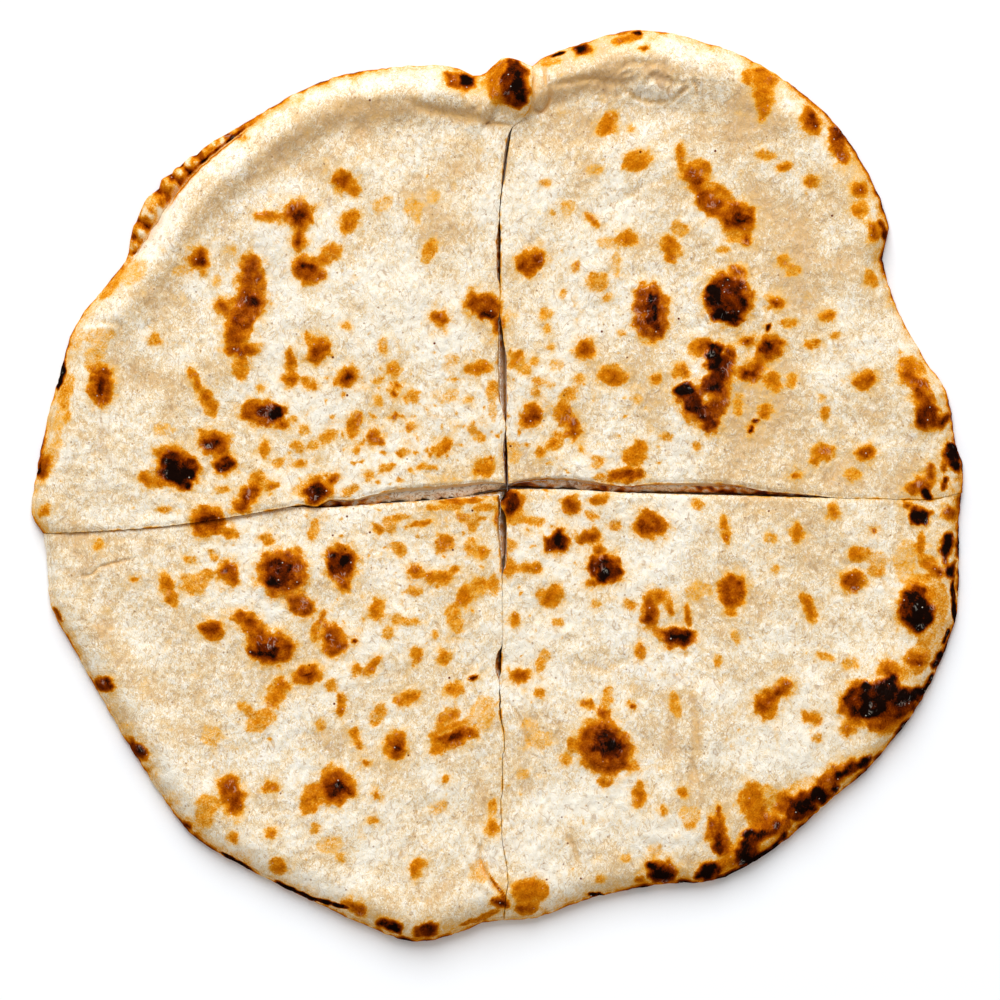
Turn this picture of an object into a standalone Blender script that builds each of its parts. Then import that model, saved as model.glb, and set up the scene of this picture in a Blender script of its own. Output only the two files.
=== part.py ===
"""A cheese naan cut into four quarters that still lie together, for Blender 4.5.

Metres, +Z up. The origin is the middle of the bread's box, on the surface that it lies on.
Seen from above, +X is to the right and +Y is up, and the quarters go by the compass.
Sizes and places below are in millimetres, and MM turns them into metres.
"""

import math
from dataclasses import dataclass

import bmesh
import bpy
import numpy as np

MM = 0.001

# The dough, from the surface up
BODY_HEIGHT = 7.0
LIP_TOP = 2.6
LIP_EDGE = 1.5
LIP_BOTTOM = 0.8
LIP_WIDTH = 0.9
LIP_CREST = 0.2
LIP_CURL = 0.1
EDGE_ROUND = 7.0
UNDERSIDE_ROUND = 6.0
ROLL_SET = 6.5
ROLL_WIDTH = 4.5
DIP_SET = 16.0
DIP_WIDTH = 5.5
DIP_SHARE = 0.35

# The melted cheese between the two sheets of dough
CHEESE_FLOOR = 2.1
CHEESE_CEILING = 4.7
CHEESE_THIN_END = 1.0
CHEESE_MARGIN = 11.0
POCKET_GAP = 0.3
POCKET_END_GAP = 1.2

# Where the knife went, and the half gap that the cut leaves at the bottom
CROSSING = (2.7, -0.5)
HALF_GAP = 0.22
POCKET_OVERRUN = 2.0
CORNER_FADE = 0.12
CUT_INFLUENCE = 0.35

# How finely each solid is divided, round the rim and from the middle out
DOUGH_GRID = (40, 20)
CHEESE_GRID = (12, 6)
RING_CROWDING = 1.55
SAME_POINT = 0.02
LEVEL_SPREAD = 1e-6
LINE_SAMPLES = 240
CURVE_STEPS = 16


@dataclass(frozen=True)
class Cut:
    """A knife cut: its line at the bottom, and how far it gapes at the top in even steps from the middle."""

    line: tuple
    gape: tuple


@dataclass(frozen=True)
class Quarter:
    """One quarter: its cuts in clockwise order, the rim between them, and the rim's roll in even steps."""

    name: str
    first_cut: str
    last_cut: str
    leaning: tuple
    rim: tuple
    roll: tuple
    lip: tuple = (0.0,)


@dataclass(frozen=True)
class Swell:
    """A soft mound in the dough, or a hollow where its height is below zero."""

    x: float
    y: float
    along: float
    across: float
    turn: float
    height: float


CUTS = {
    "west": Cut(
        line=(CROSSING, (-11, -3), (-25, -4), (-43, -5.4), (-64, -7.7), (-88, -10.9), (-112.2, -12)),
        gape=(3.2, 3.1, 3.3, 2.3, 1.5, 0.5, 0.4, 0.4, 0.4, 0.4, 0.4),
    ),
    "north": Cut(
        line=(
            CROSSING, (2.8, 9), (2.5, 18), (2.3, 32), (1.2, 45), (1.1, 62), (1.6, 75), (4, 88), (8.2, 94),
            (9, 104),
        ),
        gape=(0.9, 1.3, 1.0, 2.1, 1.2, 0.4, 1.1, 0.5, 0.7, 0.4, 0.4),
    ),
    "east": Cut(
        line=(CROSSING, (18, -0.8), (32, -1.6), (60, -2.3), (84, -3), (104, -3.6), (115.2, -2)),
        gape=(0.6, 2.3, 2.2, 2.0, 2.5, 2.4, 0.9, 0.4, 0.4, 0.4, 0.4),
    ),
    "south": Cut(
        line=(CROSSING, (2.4, -16), (1.7, -20), (1.3, -52), (2, -63), (1.7, -82), (3, -97), (2.2, -107.6)),
        gape=(2.5, 2.4, 0.6, 0.4, 0.4, 0.4, 0.4, 0.4, 0.6, 0.5, 0.9),
    ),
}

QUARTERS = (
    Quarter(
        name="quarter_nw",
        first_cut="west",
        last_cut="north",
        leaning=(True, True),
        rim=(
            (-115.2, -6.5), (-113.9, 4), (-111.2, 17), (-107.6, 30), (-104.6, 39.3), (-98, 48.2),
            (-88.8, 59.6), (-80.5, 72.3), (-72.9, 80.7), (-60.4, 90.6), (-50, 97.1), (-36.4, 102.2),
            (-14, 104.3), (-4.6, 101.6), (2.1, 106.1),
        ),
        roll=(0.2, 0.4, 0.6, 1.4, 2.0, 2.4, 2.4, 2.4, 2.3, 2.2),
        lip=(*(0,) * 15, 0.3, 3.4, 4.4, 4.5, 4.1, 3.1, 2.4, 1.8, 1.1, 0.4, *(0,) * 15),
    ),
    Quarter(
        name="quarter_ne",
        first_cut="north",
        last_cut="east",
        leaning=(False, True),
        rim=(
            (12.5, 106.5), (20.5, 109.4), (34.8, 113), (50.8, 110.2), (66.5, 103.8), (81.8, 92.2),
            (91, 79.6), (97, 65), (95.7, 56), (99.2, 44.2), (105.8, 31.8), (111.6, 23), (113.5, 12),
            (115.5, 5),
        ),
        roll=(2.6, 2.4, 2.0, 1.2, 0.6, 0.4, 0.6, 0.2, 0.6, -0.4),
    ),
    Quarter(
        name="quarter_se",
        first_cut="east",
        last_cut="south",
        leaning=(False, False),
        rim=(
            (114.6, -11), (114.3, -29), (111.4, -40), (104.6, -54.4), (92.8, -69.2), (83, -77.6),
            (71.4, -88), (60.8, -94.8), (52, -98), (40, -98.7), (24, -102), (10.4, -106.7),
        ),
        roll=(-0.6, 0.2, 0.4, -0.4, -1.0, -1.0, -0.6, -0.4, 0.2, 0.4),
    ),
    Quarter(
        name="quarter_sw",
        first_cut="south",
        last_cut="west",
        leaning=(True, False),
        rim=(
            (-3.3, -108.3), (-10, -110.8), (-18, -112.8), (-26.7, -111.3), (-47.3, -102.1), (-68.7, -91),
            (-77.4, -84.4), (-87.8, -69.4), (-96.5, -55), (-104.5, -40.7), (-110.2, -30.2), (-111.4, -19.5),
        ),
        roll=(0.8, 1.0, 0.8, 0.6, 0.6, 0.8, 1.0, 0.8, 0.2, -0.4),
    ),
)

# The big mounds and hollows, clockwise from the left
SWELLS = (
    Swell(-60, 66, 10, 7, 40, 1.2),
    Swell(-38, 81, 6, 5, 0, 1.0),
    Swell(-19, 83, 16, 7, -10, -1.1),
    Swell(-70, 30, 14, 8, 60, 0.7),
    Swell(-30, 45, 14, 9, 20, 0.7),
    Swell(4.2, 100.6, 7.0, 5.4, 90, 3.2),
    Swell(26, 90, 15, 5, 8, -1.2),
    Swell(41, 99, 11, 4, -12, 1.4),
    Swell(58, 80, 20, 8, -50, -0.9),
    Swell(58, 47, 7, 7, 0, 1.4),
    Swell(38, 44, 6, 5, 90, 1.0),
    Swell(51, 25, 9, 7, 40, 0.9),
    Swell(93, 64, 6, 5, 90, 0.9),
    Swell(105, 22, 9, 6, 100, 1.3),
    Swell(104, -30, 6, 5, 90, 2.0),
    Swell(98, -52, 10, 7, 20, 1.6),
    Swell(51, -60, 15, 4, 96, 1.3),
    Swell(28, -62, 8, 8, 0, 1.2),
    Swell(78, -79, 5, 4, 40, 1.3),
    Swell(83, -40, 12, 8, 30, -0.7),
    Swell(-4, -92, 9, 4, 100, 1.0),
    Swell(-54, -22, 8, 7, 0, 0.9),
    Swell(-57, -39, 9, 6, -30, 0.8),
    Swell(-88, -40, 16, 7, -60, -0.8),
)

DOUGH_COLOUR = (0.80, 0.63, 0.42, 1.0)
CHEESE_COLOUR = (0.86, 0.74, 0.52, 1.0)


def curve_through(points, samples=LINE_SAMPLES):
    """Evenly spaced points on the smooth curve that passes through the given ones."""
    knots = np.array(points, float)
    knots = np.vstack([2 * knots[0] - knots[1], knots, 2 * knots[-1] - knots[-2]])
    u = np.linspace(0, 1, CURVE_STEPS, endpoint=False)[:, None]
    runs = [
        b + 0.5 * ((c - a) * u + (2 * a - 5 * b + 4 * c - d) * u**2 + (3 * b - a - 3 * c + d) * u**3)
        for a, b, c, d in zip(knots[:-3], knots[1:-2], knots[2:-1], knots[3:])
    ]
    curve = np.vstack([*runs, knots[-2:-1]])
    gone = np.concatenate([[0.0], np.cumsum(np.linalg.norm(np.diff(curve, axis=0), axis=1))])
    wanted = np.linspace(0, gone[-1], samples)
    return np.column_stack([np.interp(wanted, gone, curve[:, axis]) for axis in (0, 1)])


def along(values, share):
    """The value at a share from 0 to 1 of a row of evenly spaced values."""
    return np.interp(share, np.linspace(0, 1, len(values)), values)


def normals_of(line):
    """Unit vectors to the left of each point of a line."""
    way = np.gradient(line, axis=0)
    way /= np.linalg.norm(way, axis=1, keepdims=True)
    return np.column_stack([-way[:, 1], way[:, 0]])


def cut_edges(quarter, lean, overrun):
    """Both cut edges of a quarter, from its corner out, with lean 0 at the wall's top and 1 at its foot."""
    share = np.linspace(0, 1, LINE_SAMPLES)
    lines, sides = [], []
    for name, leans, turn in (
        (quarter.first_cut, quarter.leaning[0], -1),
        (quarter.last_cut, quarter.leaning[1], 1),
    ):
        line = curve_through(CUTS[name].line)
        gape = along(CUTS[name].gape, share) if leans else np.zeros(LINE_SAMPLES)
        set_back = HALF_GAP + np.maximum(gape - 2 * HALF_GAP, 0) * (1 - lean) - overrun
        lines.append(line)
        sides.append(normals_of(line) * (turn * set_back)[:, None])
    fade = np.clip(1 - share / CORNER_FADE, 0, 1)[:, None] ** 2
    first = lines[0] + sides[0] + fade * sides[1][0]
    last = lines[1] + sides[1] + fade * sides[0][0]
    return first, last


class Layout:
    """Places on a quarter seen from above.

    t runs from 0 to 1 round the rim, and s from 0 at the corner to 1 at the rim.
    """

    def __init__(self, quarter, lean=0.0, overrun=0.0):
        self.quarter = quarter
        self.first, self.last = cut_edges(quarter, lean, overrun)
        self.rim = curve_through((self.first[-1], *quarter.rim, self.last[-1]))
        self.corner = self.first[0]

    def rim_point(self, t):
        """The rim's point at t."""
        return np.array([along(self.rim[:, 0], t), along(self.rim[:, 1], t)])

    def bend(self, edge, s):
        """How far a cut edge strays from a straight line at s."""
        straight = self.corner + s * (edge[-1] - self.corner)
        return np.array([along(edge[:, 0], s), along(edge[:, 1], s)]) - straight

    def place(self, s, t):
        """(x, y) at s and t, following the cuts near them."""
        point = self.corner + s * (self.rim_point(t) - self.corner)
        near_first = max(0.0, 1 - t / CUT_INFLUENCE) ** 2
        near_last = max(0.0, 1 - (1 - t) / CUT_INFLUENCE) ** 2
        return point + near_first * self.bend(self.first, s) + near_last * self.bend(self.last, s)

    def reach(self, t):
        """Distance from the corner to the rim at t."""
        return float(np.linalg.norm(self.rim_point(t) - self.corner))

    def outward(self, t):
        """Unit vector from the corner towards the rim at t."""
        return (self.rim_point(t) - self.corner) / self.reach(t)


def swell_height(x, y):
    """Height that the mounds and hollows add at a point."""
    total = 0.0
    for swell in SWELLS:
        turn = math.radians(swell.turn)
        dx, dy = x - swell.x, y - swell.y
        a = (dx * math.cos(turn) + dy * math.sin(turn)) / swell.along
        b = (dy * math.cos(turn) - dx * math.sin(turn)) / swell.across
        total += swell.height * math.exp(-(a * a + b * b))
    return total


def top_height(quarter, x, y, inset, t):
    """Height of the dough's top, inset being the distance in from the rim."""
    roll = along(quarter.roll, t)
    height = BODY_HEIGHT + swell_height(x, y)
    height += roll * math.exp(-(((inset - ROLL_SET) / ROLL_WIDTH) ** 2))
    height -= max(roll, 0) * DIP_SHARE * math.exp(-(((inset - DIP_SET) / DIP_WIDTH) ** 2))
    fall = 1 - min(inset / EDGE_ROUND, 1)
    return LIP_TOP + (height - LIP_TOP) * math.sqrt(1 - fall * fall)


def underside_height(inset):
    """Height of the underside, which lies flat and turns up at the rim."""
    rise = 1 - min(inset / UNDERSIDE_ROUND, 1)
    return LIP_BOTTOM * rise * rise


def grid_of(divisions):
    """A flat grid whose vertices hold t and v, each from 0 to 1, in two layers."""
    shape = bmesh.new()
    bmesh.ops.create_grid(shape, x_segments=divisions[0], y_segments=divisions[1], size=0.5)
    t_layer = shape.verts.layers.float.new("t")
    v_layer = shape.verts.layers.float.new("v")
    for vert in shape.verts:
        vert[t_layer] = vert.co.x + 0.5
        vert[v_layer] = vert.co.y + 0.5
    return shape, t_layer, v_layer


def closed_slab(divisions, upper, lower):
    """A closed solid between two surfaces, each a function of t and v that gives a point in millimetres."""
    shape, t_layer, v_layer = grid_of(divisions)
    top = list(shape.verts)
    made = bmesh.ops.extrude_face_region(shape, geom=list(shape.faces), use_keep_orig=True)
    bottom = [part for part in made["geom"] if isinstance(part, bmesh.types.BMVert)]
    for verts, surface in ((top, upper), (bottom, lower)):
        for vert in verts:
            vert.co = surface(vert[t_layer], vert[v_layer])
    bmesh.ops.remove_doubles(shape, verts=list(shape.verts), dist=SAME_POINT)
    return shape


def flatten_into_one(shape, height):
    """Joins the faces that lie level at a height, so that a flat part is one face."""
    level = [face for face in shape.faces if all(abs(v.co.z - height) < LEVEL_SPREAD for v in face.verts)]
    bmesh.ops.dissolve_faces(shape, faces=level, use_verts=False)


def object_of(name, shape, collection):
    """A Blender object in metres from a shape in millimetres."""
    bmesh.ops.scale(shape, vec=(MM, MM, MM), verts=list(shape.verts))
    bmesh.ops.recalc_face_normals(shape, faces=list(shape.faces))
    mesh = bpy.data.meshes.new(name)
    shape.to_mesh(mesh)
    shape.free()
    made = bpy.data.objects.new(name, mesh)
    collection.objects.link(made)
    return made


def dough_shape(quarter):
    """The outer form of a quarter: domed top, rolled rim, thin browned lip and flat underside."""
    top, foot = Layout(quarter, lean=0), Layout(quarter, lean=1)
    body_share = 1 - 1 / DOUGH_GRID[1]

    def upper(t, v):
        s = 1 - max(0.0, 1 - v / body_share) ** RING_CROWDING
        x, y = top.place(s, t)
        if v <= body_share + LEVEL_SPREAD:
            return x, y, top_height(quarter, x, y, (1 - s) * top.reach(t), t)
        out = top.outward(t) * (LIP_WIDTH + along(quarter.lip, t))
        return x + out[0], y + out[1], LIP_EDGE + LIP_CREST

    def lower(t, v):
        s = 1 - max(0.0, 1 - v / body_share) ** RING_CROWDING
        x, y = foot.place(s, t)
        if v <= body_share + LEVEL_SPREAD:
            return x, y, underside_height((1 - s) * foot.reach(t))
        out = foot.outward(t) * (LIP_WIDTH + along(quarter.lip, t) - LIP_CURL)
        return x + out[0], y + out[1], LIP_BOTTOM + LIP_CURL

    shape = closed_slab(DOUGH_GRID, upper, lower)
    flatten_into_one(shape, 0.0)
    return shape


def filling_shape(quarter, gap=0.0, end_gap=0.0, overrun=0.0):
    """The cheese layer, or with gaps and an overrun the pocket that holds it."""
    sizes = ((CHEESE_CEILING + gap, 1), (CHEESE_FLOOR - gap, 0))
    surfaces = []
    for level, is_ceiling in sizes:
        lean = 1 - level / BODY_HEIGHT
        layout = Layout(quarter, lean=lean, overrun=overrun)

        def surface(t, v, layout=layout, level=level, is_ceiling=is_ceiling):
            end = 1 - (CHEESE_MARGIN - end_gap) / layout.reach(t)
            x, y = layout.place(v * end, t)
            return x, y, level - is_ceiling * CHEESE_THIN_END * v**4

        surfaces.append(surface)
    shape = closed_slab(CHEESE_GRID, *surfaces)
    flatten_into_one(shape, CHEESE_FLOOR - gap)
    return shape


def cut_pocket(dough, pocket):
    """Takes the pocket out of the dough."""
    cut = dough.modifiers.new("pocket", "BOOLEAN")
    cut.operation = "DIFFERENCE"
    cut.solver = "EXACT"
    cut.object = pocket
    pocket.hide_render = True
    pocket.display_type = "WIRE"


def finish(name, colour, roughness):
    """A plain material in the food's colour."""
    material = bpy.data.materials.new(name)
    material.use_nodes = True
    shader = material.node_tree.nodes["Principled BSDF"]
    shader.inputs["Base Color"].default_value = colour
    shader.inputs["Roughness"].default_value = roughness
    shader.inputs["Metallic"].default_value = 0.0
    return material


def new_collection(name):
    """A collection of its own in the scene."""
    made = bpy.data.collections.new(name)
    bpy.context.scene.collection.children.link(made)
    return made


def main():
    for left_over in list(bpy.data.objects):
        bpy.data.objects.remove(left_over)
    bread = new_collection("cheese_naan")
    cutters = new_collection("cutters")
    dough_finish = finish("baked_dough", DOUGH_COLOUR, 0.55)
    cheese_finish = finish("melted_cheese", CHEESE_COLOUR, 0.35)
    for quarter in QUARTERS:
        dough = object_of(quarter.name + "_dough", dough_shape(quarter), bread)
        hollow = filling_shape(quarter, POCKET_GAP, POCKET_END_GAP, POCKET_OVERRUN)
        pocket = object_of(quarter.name + "_pocket", hollow, cutters)
        cheese = object_of(quarter.name + "_cheese", filling_shape(quarter), bread)
        cut_pocket(dough, pocket)
        dough.data.materials.append(dough_finish)
        cheese.data.materials.append(cheese_finish)
        dough.data.shade_smooth()


main()
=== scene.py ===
"""Looks of a cheese naan: four quarters of blistered dough with melted cheese between their two sheets.

Shapes are worked out in millimetres and become metres as the meshes are made. Scorch marks, creases and
other things that were placed one by one are given in pixels of the 1000 by 1000 photograph.
"""

import enum
import functools
import logging
import math
from dataclasses import dataclass, field

import bmesh
import bpy
import numpy as np
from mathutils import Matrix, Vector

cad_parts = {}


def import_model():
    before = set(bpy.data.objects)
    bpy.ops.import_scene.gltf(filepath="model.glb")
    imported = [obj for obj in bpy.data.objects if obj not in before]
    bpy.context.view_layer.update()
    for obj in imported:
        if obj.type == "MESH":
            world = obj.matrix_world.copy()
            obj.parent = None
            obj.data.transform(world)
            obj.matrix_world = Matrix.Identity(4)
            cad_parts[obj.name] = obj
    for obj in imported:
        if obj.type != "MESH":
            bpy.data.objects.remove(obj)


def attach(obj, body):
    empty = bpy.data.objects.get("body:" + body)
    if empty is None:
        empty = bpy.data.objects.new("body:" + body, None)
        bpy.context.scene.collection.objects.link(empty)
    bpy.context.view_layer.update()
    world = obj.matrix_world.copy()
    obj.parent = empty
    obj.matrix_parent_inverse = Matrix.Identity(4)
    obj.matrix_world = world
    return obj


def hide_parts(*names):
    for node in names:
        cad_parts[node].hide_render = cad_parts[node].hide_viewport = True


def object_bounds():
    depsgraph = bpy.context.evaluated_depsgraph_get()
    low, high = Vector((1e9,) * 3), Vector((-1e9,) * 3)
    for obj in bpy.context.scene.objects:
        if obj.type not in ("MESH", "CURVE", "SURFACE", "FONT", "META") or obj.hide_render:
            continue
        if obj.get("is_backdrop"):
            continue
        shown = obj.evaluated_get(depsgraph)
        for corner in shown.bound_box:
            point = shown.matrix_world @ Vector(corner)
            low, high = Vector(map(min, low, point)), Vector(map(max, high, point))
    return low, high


LOG = logging.getLogger("naan")

MM = 0.001
PIXEL_MM = 0.25
PIXEL_MIDDLE = (496.5, 486.0)
VIEW_MIDDLE = 500
CAMERA_HEIGHT = 2.5

# The dough, as in the solids
BODY_HEIGHT = 7.0
SOFT_TOP = 10.8
SOFT_ROOM = 1.5
LIP_TOP = 2.6
LIP_EDGE = 1.5
LIP_BOTTOM = 0.8
LIP_WIDTH = 0.9
EDGE_ROUND = 7.0
UNDERSIDE_ROUND = 6.0
ROLL_SET = 6.5
ROLL_WIDTH = 4.5
DIP_SET = 16.0
DIP_WIDTH = 5.5
DIP_SHARE = 0.25
CHEESE_FLOOR = 2.1
CHEESE_CEILING = 4.7
CHEESE_THIN_END = 1.0
POCKET_GAP = 0.3
CROSSING = (2.7, -0.5)
HALF_SLIT = 0.06
CORNER_FADE = 0.12
CUT_INFLUENCE = 0.35
LINE_SAMPLES = 720
CURVE_STEPS = 24

# How the surface is divided
BODY_RINGS = 206
EDGE_RINGS = 18
LIP_RINGS = 6
POCKET_RINGS = 196
CHEESE_RINGS = 192
WIDEST_RING = 384
POCKET_COLUMNS = 12
CROWDING = 0.2

# How deep the bump of a full height is in the materials
BUMP_MM = 0.5

Array = np.ndarray
Points = tuple[tuple[float, float], ...]
Row = tuple[float, ...]
Socket = bpy.types.NodeSocket
Thing = bpy.types.Object
Material = bpy.types.Material
Tree = bpy.types.NodeTree

# What the skin's material reads where nothing special is to be seen
PLAIN = {"tone": 0.0, "wet": 0.0, "pepper": 0.05, "folded": 0.0}


class Char(enum.Enum):
    """How far the oven has taken a scorch mark: its peak heat, and its bubble's height in millimetres."""

    FAINT = (0.30, 0.0)
    GOLDEN = (0.44, 0.05)
    AMBER = (0.60, 0.15)
    BROWN = (0.80, 0.30)
    DARK = (1.04, 0.45)
    BLACK = (1.26, 0.60)


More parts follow.
